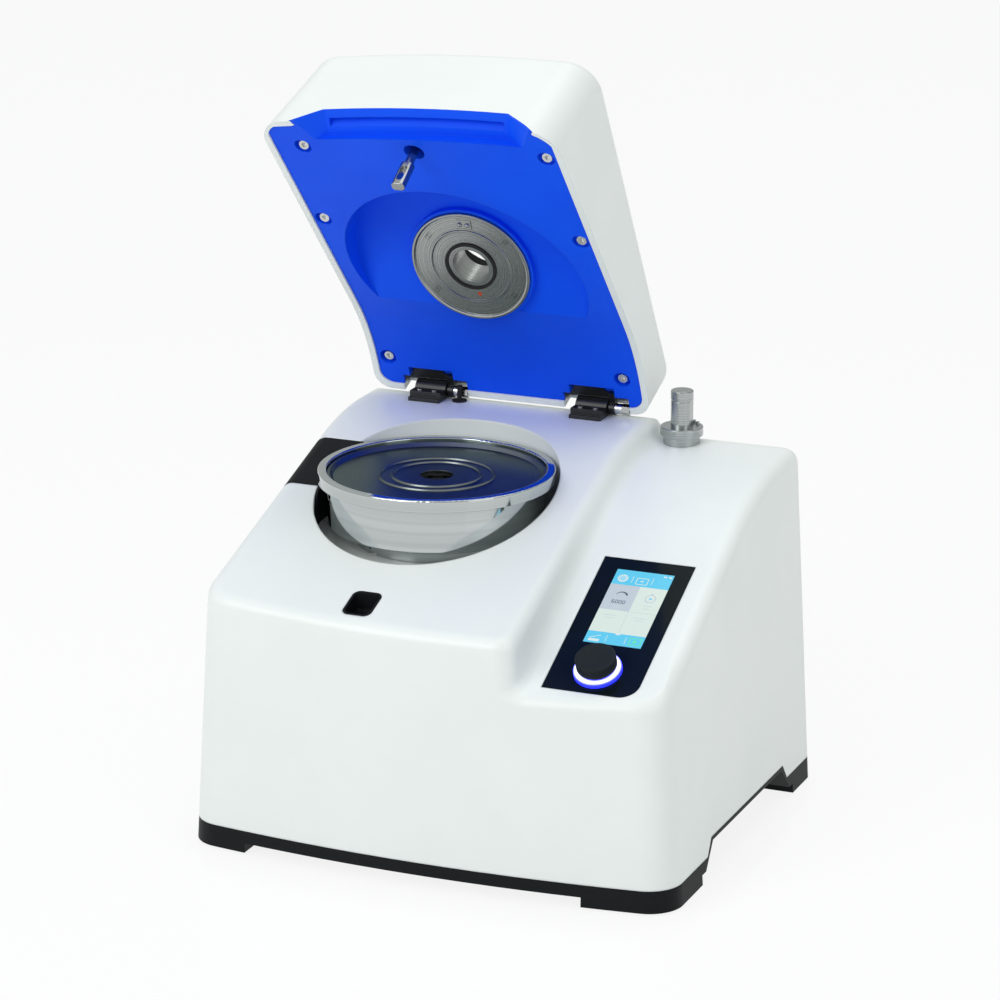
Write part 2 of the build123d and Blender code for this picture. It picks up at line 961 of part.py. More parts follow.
def upper_end_shield():
    """Upper motor flange with the neck that carries the rotor bearing up to the well."""
    flange = tube(pan_x, pan_y, shield_flange, neck_radius - neck_wall, frame_top, neck_bottom)
    neck = tube(pan_x, pan_y, neck_radius, neck_radius - neck_wall, frame_top, neck_top)
    seat = tube(pan_x, pan_y, neck_radius, bearing_outer, upper_bearing, upper_bearing + bearing_width)
    stop = tube(pan_x, pan_y, neck_radius, bearing_outer - bearing_race, upper_bearing - lip_skin,
        upper_bearing)
    return flange + neck + seat + stop


def motor_frame():
    """Finned tube of the motor."""
    body = tube(pan_x, pan_y, frame_radius - fin_depth, frame_radius - frame_wall, frame_bottom, frame_top)
    middle = frame_radius - fin_depth / 2 - fin_root / 2
    fin = box_between(
        (pan_x + middle - fin_depth / 2 - fin_root / 2, pan_x + frame_radius),
        (pan_y - fin_width / 2, pan_y + fin_width / 2),
        (frame_bottom, frame_top),
    )
    return body + around_pan(fin, frame_fins)


def stator_core():
    """Laminated ring of the stator."""
    return tube(pan_x, pan_y, frame_radius - frame_wall, stator_inner, stator_bottom,
        stator_bottom + stator_height)


def stator_windings():
    """Copper end turns above and below the stator."""
    outer = winding_inner + winding_width
    top = stator_bottom + stator_height
    upper = tube(pan_x, pan_y, outer, winding_inner, top, top + winding_height)
    lower = tube(pan_x, pan_y, outer, winding_inner, stator_bottom - winding_height, stator_bottom)
    upper = fillet(upper.edges().filter_by(GeomType.CIRCLE).group_by(Axis.Z)[-1], winding_width / 3)
    lower = fillet(lower.edges().filter_by(GeomType.CIRCLE).group_by(Axis.Z)[0], winding_width / 3)
    return [lower, upper]


def armature():
    """Motor rotor pressed on the shaft."""
    return tube(pan_x, pan_y, stator_inner - air_gap, shaft_radius, stator_bottom,
        stator_bottom + stator_height)


def bearings():
    """Two ball bearings, drawn as rings with an open race."""
    rings = []
    for bottom in (lower_bearing, upper_bearing):
        top = bottom + bearing_width
        outer = tube(pan_x, pan_y, bearing_outer, bearing_outer - bearing_race, bottom, top)
        inner = tube(pan_x, pan_y, shaft_radius + bearing_race, shaft_radius + running_gap, bottom, top)
        cage = tube(pan_x, pan_y, bearing_outer, shaft_radius + bearing_race, bottom + bearing_race,
            top - bearing_race)
        rings.append(outer + inner + cage)
    return rings


def motor_shaft():
    """Shaft through fan, bearings and armature up to the push-on seat of the rotor."""
    top = rotor_bottom + hub_height - hub_cap
    body = upright(pan_x, pan_y, shaft_radius, shaft_bottom, neck_top)
    tip = upright(pan_x, pan_y, tip_radius, neck_top, top)
    tip = chamfer(tip.edges().filter_by(GeomType.CIRCLE).group_by(Axis.Z)[-1], tip_radius / 4)
    return body + tip


def cooling_fan():
    """Radial fan at the lower end of the shaft."""
    bottom = chassis_top + fan_clear
    disc = tube(pan_x, pan_y, fan_radius, shaft_radius, bottom, bottom + fan_disc)
    hub = tube(pan_x, pan_y, fan_hub, shaft_radius, bottom, bottom + fan_height)
    blade = box_between(
        (pan_x + fan_hub - fan_disc, pan_x + fan_radius - fan_disc),
        (pan_y - fan_blade / 2, pan_y + fan_blade / 2),
        (bottom, bottom + fan_height),
    )
    return disc + hub + around_pan(blade, fan_blades)


def well_seal():
    """Rubber ring between the motor neck and the floor of the well."""
    inner = neck_radius
    outer = neck_radius + seal_width
    under = well_floor - well_wall
    over = well_floor + neck_rise
    flange = outer + seal_flange
    return turned([(inner, under), (outer, under), (outer, well_floor), (flange, well_floor), (flange,
        over), (inner, over)])


def labyrinth_disc():
    """Flinger disc on the shaft above the neck."""
    return turned([
        (tip_radius, labyrinth_bottom),
        (rotor_radius - skirt_width, labyrinth_bottom),
        (rotor_radius - skirt_width, labyrinth_top - labyrinth_skin / 4),
        (rotor_radius, labyrinth_top - labyrinth_skin / 4),
        (rotor_radius, labyrinth_top),
        (hub_radius, labyrinth_top),
        (hub_radius, rotor_bottom),
        (tip_radius, rotor_bottom),
    ])


def grinding_rotor():
    """Push-on rotor with twelve teeth between base disc and top ring."""
    top = rotor_bottom + rotor_height
    disc_top = rotor_bottom + rotor_base
    ring_bottom = top - rotor_ring_height
    hub_top = rotor_bottom + hub_height
    blank = turned([
        (0, rotor_bottom + hub_height - hub_cap),
        (tip_radius, rotor_bottom + hub_height - hub_cap),
        (tip_radius, rotor_bottom),
        (rotor_radius, rotor_bottom),
        (rotor_radius, disc_top),
        (hub_radius + hub_cone, disc_top),
        (hub_radius, disc_top + hub_cone),
        (hub_radius - hub_round, hub_top),
        (0, hub_top),
    ])
    ring = tube(pan_x, pan_y, rotor_radius, rotor_ring_inner, ring_bottom, top)
    root = tooth_root_width / 2
    tip = tooth_tip_width / 2
    tooth = plan_prism([
        (pan_x + tooth_root, pan_y - root),
        (pan_x + rotor_radius + tip, pan_y - tip),
        (pan_x + rotor_radius + tip, pan_y + tip),
        (pan_x + tooth_root, pan_y + root),
    ], disc_top - rotor_base / 2, top)
    teeth = around_pan(tooth, rotor_teeth) & upright(pan_x, pan_y, rotor_radius, 0, deck_top)
    return blank + ring + teeth


# Pan with sieve and cover plate
def pan_bowl():
    """Deep steel pan with rolled rim, conical floor, centring ring and throat."""
    inner = pan_radius - pan_skin
    cone_foot = pan_bottom - pan_cone
    rise = pan_ledge + pan_skin
    ring_inner = pan_ring_radius - pan_ring_width
    bowl = turned([
        (rim_inner, rim_top),
        (rim_radius, rim_top),
        (rim_radius, rim_top - rim_height),
        (pan_radius, rim_top - rim_height),
        (pan_radius, pan_bottom),
        (pan_ring_radius, cone_foot),
        (pan_ring_radius, pan_foot),
        (ring_inner, pan_foot),
        (ring_inner, pan_plate_bottom),
        (throat_radius, pan_plate_bottom),
        (throat_radius, pan_ledge),
        (throat_radius + ledge_width, pan_ledge),
        (throat_radius + ledge_width + pan_skin, pan_ledge - pan_skin),
        (pan_ring_radius - pan_skin, pan_ledge - pan_skin / 2),
        (inner, rise + pan_cone),
        (inner, rim_top - cover_drop - pan_skin / 2),
        (rim_inner, rim_top - cover_drop - pan_skin / 2),
    ])
    rim = [e for e in bowl.edges().filter_by(GeomType.CIRCLE) if e.position_at(0).Z > rim_top - fit_gap]
    bowl = fillet(rim, rim_round)
    slot = RectangleRounded(slot_length, slot_height, slot_height / 2 - fit_gap)
    slot = extrude(slot, amount=rim_radius)
    slot = Pos(pan_x, pan_y, pan_bottom + slot_rise) * Rot(0, 0, slot_angle - 90) * Rot(-90, 0, 0) * slot
    notch = upright(pan_x + pan_ring_radius, pan_y, notch_radius, pan_foot - overrun, pan_plate_bottom)
    notch = notch.rotate(Axis((pan_x, pan_y, 0), (0, 0, 1)), notch_angle)
    return bowl - slot - notch


def ring_sieve():
    """Ring sieve round the rotor, drawn with wide slots between two bands."""
    ring = tube(pan_x, pan_y, sieve_outer, sieve_inner, pan_ledge, sieve_top)
    slot = box_between(
        (pan_x + hub_radius, pan_x + sieve_outer + overrun),
        (pan_y - sieve_slot_width / 2, pan_y + sieve_slot_width / 2),
        (pan_ledge + sieve_band, sieve_top - sieve_band),
    )
    return ring - around_pan(slot, sieve_slots)


def pan_cover():
    """Cover plate lying in the rim, with its feed hole, raised rings and collar."""
    edge = rim_inner - cover_rim_gap
    points = [(cover_hole, cover_bottom)]
    points += [(sieve_inner - fit_gap, cover_bottom), (sieve_inner - fit_gap, sieve_top + fit_gap)]
    points += [(sieve_outer + fit_gap, sieve_top + fit_gap), (sieve_outer + fit_gap, cover_bottom)]
    points += [(edge - cover_lip_width, cover_bottom), (edge, cover_top + cover_lip_height)]
    points += [(edge - cover_taper, cover_top + cover_lip_height),
        (edge - cover_lip_width - cover_taper, cover_top)]
    for radius in cover_rings:
        points += [(radius + cover_ring_width, cover_top), (radius + cover_ring_width / 2,
            cover_top + cover_ring_rise)]
        points += [(radius - cover_ring_width / 2, cover_top + cover_ring_rise),
            (radius - cover_ring_width, cover_top)]
    points += [(cover_hole, cover_top)]
    return turned(points)


# Electrical boxes on the chassis
def drive_unit():
    """Frequency drive of the motor as a closed box."""
    width = (drive_x - drive_width / 2, drive_x + drive_width / 2)
    length = (drive_y - drive_length / 2, drive_y + drive_length / 2)
    box = box_between(width, length, (chassis_top, chassis_top + drive_height))
    return fillet(box.edges().filter_by(Axis.Z), ring_height)


def heat_sink():
    """Finned heat sink on top of the drive."""
    bottom = chassis_top + drive_height
    width = drive_width - sink_height
    length = drive_length - sink_height
    depth = (drive_y - length / 2, drive_y + length / 2)
    sink = box_between((drive_x - width / 2, drive_x + width / 2), depth, (bottom, bottom + sink_base))
    pitch = (width - sink_fin) / (sink_fins - 1)
    for k in range(sink_fins):
        x = drive_x - width / 2 + k * pitch
        sink += box_between((x, x + sink_fin), depth, (bottom, bottom + sink_height))
    return sink


def mains_filter():
    """Mains filter can with its two terminals."""
    width = (filter_x - filter_width / 2, filter_x + filter_width / 2)
    length = (filter_y - filter_length / 2, filter_y + filter_length / 2)
    top = chassis_top + filter_height
    can = box_between(width, length, (chassis_top, top))
    can = fillet(can.edges().filter_by(Axis.Z), terminal_radius)
    for side in (-1, 1):
        can += upright(filter_x, filter_y + side * filter_length / 4, terminal_radius, top,
            top + terminal_height)
    return can


# Lock in the front of the deck
def funnel_space(margin, bottom):
    """Inside of the lock funnel shrunk or grown by a margin."""
    knee = deck_height(lock_y - lock_length / 2) - deck_drop
    wide = RectangleRounded(lock_width - 2 * margin, lock_length - 2 * margin, lock_corner - margin)
    narrow_corner = lock_corner / 2 - margin / 2
    narrow = RectangleRounded(
        throat_width + 2 * (lock_skin + fit_gap - margin),
        throat_length + 2 * (lock_skin + fit_gap - margin),
        narrow_corner,
    )
    upper = Pos(lock_x, lock_y, knee) * extrude(wide, amount=deck_top - knee)
    lower = loft([Pos(lock_x, throat_y, bottom) * narrow, Pos(lock_x, lock_y, knee) * wide], ruled=True)
    return upper + lower


def lock_funnel(form):
    """Funnel that takes the eye bolt of the lid."""
    outer = funnel_space(fit_gap, funnel_bottom)
    inner = funnel_space(fit_gap + lock_skin, funnel_bottom)
    return (outer - inner) & form


def lock_body():
    """Latch case below the funnel with the bearing pin of the hook."""
    left, right = lock_x - latch_width / 2, lock_x + latch_width / 2
    front, back = latch_y - latch_length / 2, latch_y + latch_length / 2
    bottom = funnel_bottom - latch_height
    box = box_between((left, right), (front, back), (bottom, funnel_bottom))
    wall = latch_wall
    inner = box_between(
        (left + wall, right - wall),
        (front + wall, back - wall),
        (bottom + wall, funnel_bottom - wall),
    )
    mouth = box_between(
        (lock_x - throat_width / 2, lock_x + throat_width / 2),
        (throat_y - throat_length / 2, throat_y + throat_length / 2),
        (funnel_bottom - overrun / 2, funnel_bottom + overrun),
    )
    pin = level(hook_pin, left, right, hook_pivot_y, bottom + hook_pivot_rise)
    return box - inner - mouth + pin


def lock_motor():
    """Small motor beside the latch case."""
    left = lock_x + latch_width / 2
    axis_z = funnel_bottom - latch_height + latch_motor_rise
    body = level(latch_motor_radius, left, left + latch_motor_length, latch_y, axis_z)
    return fillet(body.edges().filter_by(GeomType.CIRCLE).group_by(Axis.X)[-1], terminal_radius / 2)


def lock_hook():
    """Hook that swings into the eye of the bolt."""
    left, right = lock_x - hook_thickness / 2, lock_x + hook_thickness / 2
    pivot_z = funnel_bottom - latch_height + hook_pivot_rise
    top = pivot_z + hook_height
    back = hook_pivot_y + hook_width / 2
    arm = box_between((left, right), (hook_pivot_y - hook_width / 2, back), (pivot_z, top))
    beak = box_between((left, right), (back, back + hook_beak), (top - hook_beak_height, top))
    eye = level(hook_pin + hook_wall, left, right, hook_pivot_y, pivot_z)
    return arm + beak + eye - level(hook_pin + running_gap, left - overrun, right + overrun,
        hook_pivot_y, pivot_z)


# Glass panel with display and knob
def glass_panel():
    """Glass panel lying flush in the console."""
    glass = Pos(0, 0, -bezel_skin) * extrude(glass_outline(fit_gap), amount=bezel_skin)
    glass -= Pos(display_shift, display_up, 0) * Box(display_width, display_length, 2 * overrun)
    glass -= Pos(0, knob_up, 0) * Cylinder(encoder_bush + fit_gap, 2 * overrun)
    return on_console(bezel_length / 2, glass)


def display_screen():
    """Display pane in the window of the glass."""
    pane = Box(display_width - 2 * fit_gap, display_length - 2 * fit_gap, bezel_skin)
    return on_console(bezel_length / 2, Pos(display_shift, display_up, -bezel_skin / 2) * pane)


def display_module():
    """Display unit behind the glass."""
    box = Box(display_width + 2 * module_margin, display_length + 2 * module_margin, module_depth)
    return on_console(bezel_length / 2, Pos(display_shift, display_up, -bezel_skin - module_depth / 2) * box)


def control_board():
    """Circuit board behind display and encoder."""
    board = Box(board_width, board_length, board_skin)
    return on_console(bezel_length / 2, Pos(0, 0, -bezel_skin - module_depth - board_skin / 2) * board)


def at_knob(shape):
    """A shape drawn about the knob axis with the glass at zero, put in place."""
    return on_console(bezel_length - knob_from_bottom, shape)


def encoder_body():
    """Body of the push and turn encoder with its threaded bush."""
    case = Pos(0, 0, -bezel_skin - module_depth / 2) * Box(encoder_side, encoder_side, module_depth)
    bush_height = encoder_bush_height + bezel_skin
    bush = Pos(0, 0, encoder_bush_height - bush_height / 2) * Cylinder(encoder_bush, bush_height)
    cavity_top = -bezel_skin - board_skin / 2
    cavity_bottom = plunger_top - plunger_height - knob_travel - fit_gap
    cavity = Pos(0, 0, (cavity_top + cavity_bottom) / 2)
    cavity = cavity * Cylinder(plunger_radius + fit_gap, cavity_top - cavity_bottom)
    bore = Pos(0, 0, encoder_bush_height / 2 + cavity_top / 2)
    bore = bore * Cylinder(encoder_shaft + running_gap, encoder_bush_height - cavity_top + fit_gap)
    return at_knob(case + bush - cavity - bore)


def encoder_plunger():
    """Plunger that the knob shaft presses down."""
    return at_knob(Pos(0, 0, plunger_top - plunger_height / 2) * Cylinder(plunger_radius, plunger_height))


def encoder_spindle():
    """Shaft between plunger and knob."""
    height = knob_top - knob_cap - plunger_top
    return at_knob(Pos(0, 0, plunger_top + height / 2) * Cylinder(encoder_shaft, height))


def knob_light_ring():
    """Light ring round the knob."""
    ring = Pos(0, 0, ring_height / 2) * Cylinder(ring_radius, ring_height)
    ring = fillet(ring.edges().filter_by(GeomType.CIRCLE).group_by(Axis.Z)[-1], ring_round)
    return at_knob(ring - Cylinder(ring_radius - ring_width, overrun))


def control_knob():
    """Turn and push knob with a dished top."""
    bottom = ring_height + knob_travel + knob_lift
    foot = encoder_bush_height - stem_reach
    rim = knob_radius - knob_dish_margin
    points = [
        (encoder_bush + fit_gap, foot),
        (knob_stem, foot),
        (knob_stem, bottom),
        (knob_radius, bottom),
        (knob_radius, knob_top),
        (rim, knob_top),
        (rim / 2, knob_top - knob_dish),
        (0, knob_top - knob_dish),
        (0, knob_top - knob_cap),
        (encoder_shaft, knob_top - knob_cap),
        (encoder_shaft, encoder_bush_height + knob_travel + fit_gap),
        (encoder_bush + fit_gap, encoder_bush_height + knob_travel + fit_gap),
    ]
    knob = revolve(make_face(Polyline(*[(r, 0, z) for r, z in points], close=True)), axis=Axis.Z)
    edge = [e for e in knob.edges().filter_by(GeomType.CIRCLE) if abs(e.radius - knob_radius) < running_gap]
    return at_knob(fillet(edge, knob_round))


# Lifting tool on the console
def tool_seat_collar():
    """Seat of the lifting tool in the console."""
    low = tool_bottom - fit_gap - tool_socket_depth
    bore = tool_peg + fit_gap
    collar = tube(tool_x, tool_y, tool_seat, bore, low, tool_bottom - fit_gap) - console_ridge()
    return collar + tube(tool_x, tool_y, tool_socket - fit_gap, bore, low, tool_bottom - fit_gap)


def lifting_tool():
    """Tool for lifting the hot rotor, with flange, grip and peg."""
    flange_z = tool_bottom + tool_flange_height
    top = flange_z + tool_grip_height
    flange = upright(tool_x, tool_y, tool_flange, tool_bottom, flange_z)
    flange = fillet(flange.edges().filter_by(GeomType.CIRCLE), tool_round)
    grip = upright(tool_x, tool_y, tool_grip, flange_z - tool_round, top)
    grip = fillet(grip.edges().filter_by(GeomType.CIRCLE).group_by(Axis.Z)[-1], tool_round)
    groove_z = top - tool_band
    grip -= tube(tool_x, tool_y, tool_flange, tool_grip - tool_groove, groove_z - tool_groove_height,
        groove_z)
    for side in (-1, 1):
        flat = (tool_flat * side, tool_flange * side)
        grip -= box_between(
            (tool_x + min(flat), tool_x + max(flat)),
            (tool_y - tool_flange, tool_y + tool_flange),
            (flange_z, groove_z - tool_groove_height),
        )
    peg = upright(tool_x, tool_y, tool_peg, tool_bottom - tool_peg_length, tool_bottom + tool_round)
    return flange + grip + peg


def tool_pins():
    """Two small pins on the flange of the tool."""
    bottom = tool_bottom + tool_flange_height
    pins = []
    for angle in tool_pin_angles:
        x = tool_x + tool_pin_radius * cos(radians(angle))
        y = tool_y + tool_pin_radius * sin(radians(angle))
        pins.append(upright(x, y, tool_pin, bottom, bottom + tool_pin_height))
    return pins


# Lid, drawn closed
def lid_crown(x, apex, radius):
    """Depth of the bowed lid front at a place across."""
    return apex + radius - sqrt(radius**2 - (x - lid_crown_x) ** 2)


def lid_plan(height, inset, corner):
    """Plan outline of the lid at a height, open-ended towards the rear."""
    left = lid_left + (height - grip_bottom) * tan(radians(lid_left_draft)) + inset
    right = lid_right - inset
    apex = lid_front + inset
    radius = lid_crown_radius - inset
    back = rear_y + overrun
    left_front = (left, lid_crown(left, apex, radius))
    right_front = (right, lid_crown(right, apex, radius))
    edges = [
        ThreePointArc(left_front, (lid_crown_x, apex), right_front),
        Line(right_front, (right, back)),
        Line((right, back), (left, back)),
        Line((left, back), left_front),
    ]
    face = make_face(edges)
    face = fillet([v for v in face.vertices() if v.Y < 0], corner)
    return Pos(0, 0, height) * face


def lid_prism(inset, corner):
    """Upright body of the lid plan, open-ended towards the rear."""
    low, high = lid_plan(lid_low, inset, corner), lid_plan(lid_high, inset, corner)
    return loft([low, high], ruled=True)


def rear_rounded(block, back, corner):
    """A lid body cut off at the rear, with its two rear corners rounded."""
    cut = block & box_between((-body_width, body_width), (-body_depth, back), (0, body_width))
    tall = [e for e in cut.edges() if abs(e.center().Y - back) < fit_gap
        and abs(e.tangent_at(0.5).Z) > cos(radians(rear_corner))]
    return fillet(tall, corner)


def lid_top(inset):
    """Space below the sloping top of the lid."""
    slope = tan(radians(lid_top_rise))
    low_y, high_y = lid_front - overrun, rear_y + overrun
    top = lid_top_z - inset
    points = [
        (low_y, top + (low_y - lid_top_y) * slope),
        (high_y, top + (high_y - lid_top_y) * slope),
        (high_y, 0),
        (low_y, 0),
    ]
    return side_prism(points, -body_width, body_width)


def lid_form(inset):
    """Outer form of the lid, shrunk all round by an inset."""
    block = lid_prism(inset, lid_corner_front - inset) & lid_top(inset)
    slope = tan(radians(lid_top_rise))
    rim = []
    for edge in block.edges():
        middle = edge.position_at(0.5)
        top = lid_top_z - inset + (middle.Y - lid_top_y) * slope
        if abs(middle.Z - top) < fit_gap and middle.Y < rear_y + overrun / 2:
            rim.append(edge)
    block = fillet(rim, lid_edge_round - inset)
    form = rear_rounded(block, lid_rear - inset, lid_corner_rear - inset)
    start_y = lid_rear - inset - (lid_rear_round - inset) * (1 + sin(radians(lid_top_rise)))
    top = lid_top_z - inset + (start_y - lid_top_y) * slope
    return form & rear_trim(lid_rear - inset, top, lid_top_rise, lid_rear_round - inset)


def grip_front(offset):
    """Space of the finger grip seen from the front, grown or shrunk all round by an offset."""
    high = deck_top + body_width / 4
    points = [
        (grip_left - offset, 0),
        (grip_left - offset, grip_side + offset),
        (grip_left_bend - offset, grip_bottom + offset),
        (grip_left_bend - offset, high),
        (grip_right_bend + offset, high),
        (grip_right_bend + offset, grip_bottom + offset),
        (grip_right + offset, grip_side + offset),
        (grip_right + offset, 0),
    ]
    start_y = lid_front - overrun
    outline = [(x, start_y, z) for x, z in points]
    return extrude(make_face(Polyline(*outline, close=True)), amount=grip_rear - start_y, dir=(0, 1, 0))


def crown_sweep(points):
    """A profile swept along the bowed front of the lid."""
    axis = Axis((lid_crown_x, lid_front + lid_crown_radius, 0), (0, 0, 1))
    profile = make_face(Polyline(*[(lid_crown_x, y, z) for y, z in points], close=True))
    swept = revolve(profile, axis=axis, revolution_arc=2 * crown_half_turn)
    return swept.rotate(axis, -crown_half_turn)


def lid_shell(form):
    """White outer shell of the lid with its rim and screw bosses."""
    clear = deck_ridge(-lid_gap)
    inside = form - clear
    shell = inside - lid_form(lid_wall)
    rim_inner = rear_rounded(lid_prism(rim_width, panel_corner + panel_gap), lid_rear - rim_width,
        panel_corner + panel_gap)
    shell += (inside - rim_inner) & deck_layer(lid_gap, lid_gap + rim_flange)
    for x, y in screw_places:
        shell += upright(x, y, screw_boss, cup_ceiling(y) + screw_recess_wall, body_width) & form
    shell -= grip_front(0) & box_between((-body_width, body_width), (-body_depth, panel_front), (0,
        grip_bottom))
    for x in hinge_places:
        shell -= hinge_notch(x)
    return shell - upright(pan_x, pan_y, funnel_radius + fit_gap, funnel_knee, body_width)


def hinge_notch(x):
    """Space round one hinge at the rear of the lid."""
    middle = x + notch_shift
    top = hinge_z + knuckle_radius + notch_clear
    width = (middle - notch_width / 2, middle + notch_width / 2)
    box = box_between(width, (notch_front, body_depth), (0, top))
    return box + level(knuckle_radius + knuckle_clear, width[0], width[1], hinge_y, hinge_z)


def cup_ceiling(y):
    """Height of the flat inner end of a screw recess."""
    return deck_height(y) + panel_bottom + screw_recess_depth


def lid_panel(form):
    """Blue inner panel with round pocket, finger grip, screw recesses and hinge pockets."""
    inset = rim_width + panel_gap
    plan = rear_rounded(lid_prism(inset, panel_corner), lid_rear - inset, panel_corner)
    above = everything_above(panel_bottom)
    panel = plan & deck_layer(panel_bottom, panel_top)
    ceiling = pocket_floor + panel_skin
    tub = upright(pan_x, pan_y, pocket_radius + panel_skin, 0, ceiling) & above
    solid_grip = crown_sweep([
        (lid_front, grip_low),
        (lid_front, grip_ceiling + grip_wall),
        (grip_crest, grip_ceiling + grip_wall),
        (panel_front + grip_slope, grip_bottom + grip_wall),
        (panel_front + grip_slope, grip_low),
    ]) & grip_front(grip_wall) & above & form
    guides = eye_guide(eye_hole + eye_guide_wall, eye_guide_height + eye_plate) & above
    panel = panel + tub + solid_grip + guides
    for x, y in screw_places:
        panel += upright(x, y, screw_recess + screw_recess_wall, 0,
            cup_ceiling(y) + screw_recess_wall) & above
    for x in hinge_places:
        panel += hinge_pocket(x, panel_skin) & above
    panel -= upright(pan_x, pan_y, pocket_radius, 0, pocket_floor)
    boss = upright(pan_x, pan_y, boss_radius, boss_face, body_width)
    panel += boss & (deck_ridge(-panel_top) + upright(pan_x, pan_y, boss_radius, 0, ceiling))
    panel -= upright(pan_x, pan_y, flange_radius, 0, flange_top)
    panel -= upright(pan_x, pan_y, feed_radius + feed_wall, 0, body_width)
    panel -= crown_sweep([
        (lid_front - overrun, 0),
        (lid_front - overrun, grip_bottom - grip_edge),
        (panel_front, grip_bottom - grip_edge),
        (panel_front, 0),
    ]) & grip_front(-grip_edge)
    panel -= crown_sweep([
        (lid_front + lid_wall + lip_width, 0),
        (lid_front + lid_wall + lip_width, grip_ceiling),
        (panel_front, panel_front_z),
        (panel_front, 0),
    ]) & grip_front(-lip_width)
    panel -= eye_guide(eye_hole, eye_guide_height)
    panel -= eye_guide(eye_rod + fit_gap, eye_guide_height + eye_plate)
    for x, y in screw_places:
        panel -= upright(x, y, screw_recess, 0, cup_ceiling(y))
        panel -= upright(x, y, screw_socket, 0, cup_ceiling(y) + screw_recess_wall)
    for x in hinge_places:
        panel -= hinge_pocket(x, 0)
        panel -= hinge_notch(x)
    return panel


def everything_above(height):
    """Space above a height over the deck surface."""
    return everything() - deck_ridge(-height)


def eye_place(shape):
    """A shape drawn about the eye bolt axis with the panel underside at zero, put in place."""
    underside = deck_height(eye_y) + panel_bottom
    return Pos(eye_x, eye_y, underside) * Rot(eye_tilt, 0, 0) * shape


def eye_guide(radius, top):
    """Tilted round bar up from below the panel, for the guide of the eye bolt."""
    return eye_place(Pos(0, 0, top / 2 - eye_hole / 2) * Cylinder(radius, top + eye_hole))


def eye_bolt():
    """Eye bolt that reaches into the lock."""
    top = eye_guide_height + eye_plate + eye_nut_height
    rod = Pos(0, 0, (top - eye_rod_length) / 2) * Cylinder(eye_rod, top + eye_rod_length)
    head = Box(eye_head_width, eye_head_thickness, eye_head_length)
    head = fillet(head.edges().filter_by(Axis.Z), eye_head_thickness / 2 - eye_round)
    head = fillet(head.edges().group_by(Axis.Z)[0], eye_round)
    slot = RectangleRounded(eye_slot_width, eye_slot_length, eye_slot_width / 2 - running_gap)
    slot = Rot(90, 0, 0) * extrude(slot, amount=eye_head_width, both=True)
    head_z = -eye_rod_length - eye_head_length / 2
    return eye_place(rod + Pos(0, 0, head_z) * (head - slot))


def eye_nut():
    """Nut that holds the eye bolt on its guide."""
    bottom = eye_guide_height + eye_plate
    nut = extrude(RegularPolygon(eye_nut_radius, 6), amount=eye_nut_height) - Cylinder(eye_rod, body_width)
    return eye_place(Pos(0, 0, bottom) * nut)


def hinge_pocket(x, skin):
    """Pocket in the panel for one hinge leaf, grown by a skin."""
    middle = x + leaf_shift
    half = leaf_width / 2 + leaf_clear + skin
    right = x + block_width / 2 + collar_gap + collar_width + leaf_clear + skin
    ceiling = leaf_bottom + leaf_skin + skin
    return box_between((middle - half, right), (leaf_front - leaf_clear - skin, lid_rear), (0, ceiling))


def lid_flange():
    """Steel flange in the pocket with its rolled lip and feed tube."""
    dish = flange_face + flange_dish
    low = flange_face + lip_step
    half = flange_ring_width / 2
    outer = feed_radius + feed_wall
    points = [
        (feed_radius, dish),
        (flange_ring - half, dish),
        (flange_ring - half / 2, low),
        (flange_ring + half / 2, low),
        (flange_ring + half, dish),
        (flange_radius - flange_lip - lip_step, dish),
        (flange_radius - flange_lip, low),
        (flange_radius - flange_lip / 2 - lip_step, flange_face),
        (flange_radius - lip_step, flange_face),
        (flange_radius, low),
        (flange_radius, flange_top),
        (outer, flange_top),
        (outer, feed_top),
        (feed_radius, feed_top),
    ]
    return turned(points)


def flange_clip():
    """Small spring clip with two balls under the flange."""
    face = flange_face + flange_dish
    y = pan_y - clip_radius
    half = (clip_width / 2, clip_length / 2)
    clip = box_between((pan_x - half[0], pan_x + half[0]), (y - half[1], y + half[1]),
        (face - clip_skin, face))
    for side in (-1, 1):
        clip += Pos(pan_x + side * clip_width / 4, y, face - clip_skin) * Sphere(clip_ball)
    return clip & box_between((-body_width, body_width), (-body_depth, body_depth), (0, face))


def bore_seal():
    """Seal ring round the feed opening under the flange."""
    face = flange_face + flange_dish
    inner = bore_seal_radius - bore_seal_width / 2
    return tube(pan_x, pan_y, inner + bore_seal_width, inner, face - bore_seal_height, face)


def feed_funnel(form):
    """Funnel in the top of the lid that leads to the feed tube."""
    inner = feed_radius + feed_wall + fit_gap
    outer = inner + funnel_wall
    knee = funnel_knee + funnel_rise
    funnel = turned([
        (inner, funnel_foot),
        (outer, funnel_foot),
        (outer, funnel_knee),
        (funnel_radius, knee),
        (funnel_radius, knee + funnel_radius),
        (funnel_radius - funnel_wall, knee + funnel_radius),
        (funnel_radius - funnel_wall, knee),
        (inner, funnel_knee),
    ])
    return funnel & form


def panel_screws():
    """Socket screws in the recesses of the panel."""
    screws = []
    for x, y in screw_places:
        top = cup_ceiling(y)
        head = upright(x, y, screw_head, top - screw_head_height, top)
        shank = upright(x, y, screw_socket - fit_gap, top - fit_gap, top + screw_recess_wall)
        low = top - screw_head_height
        head -= Pos(x, y, low) * extrude(RegularPolygon(screw_socket, 6), amount=screw_socket_depth)
        screws.append(head + shank)
    return screws


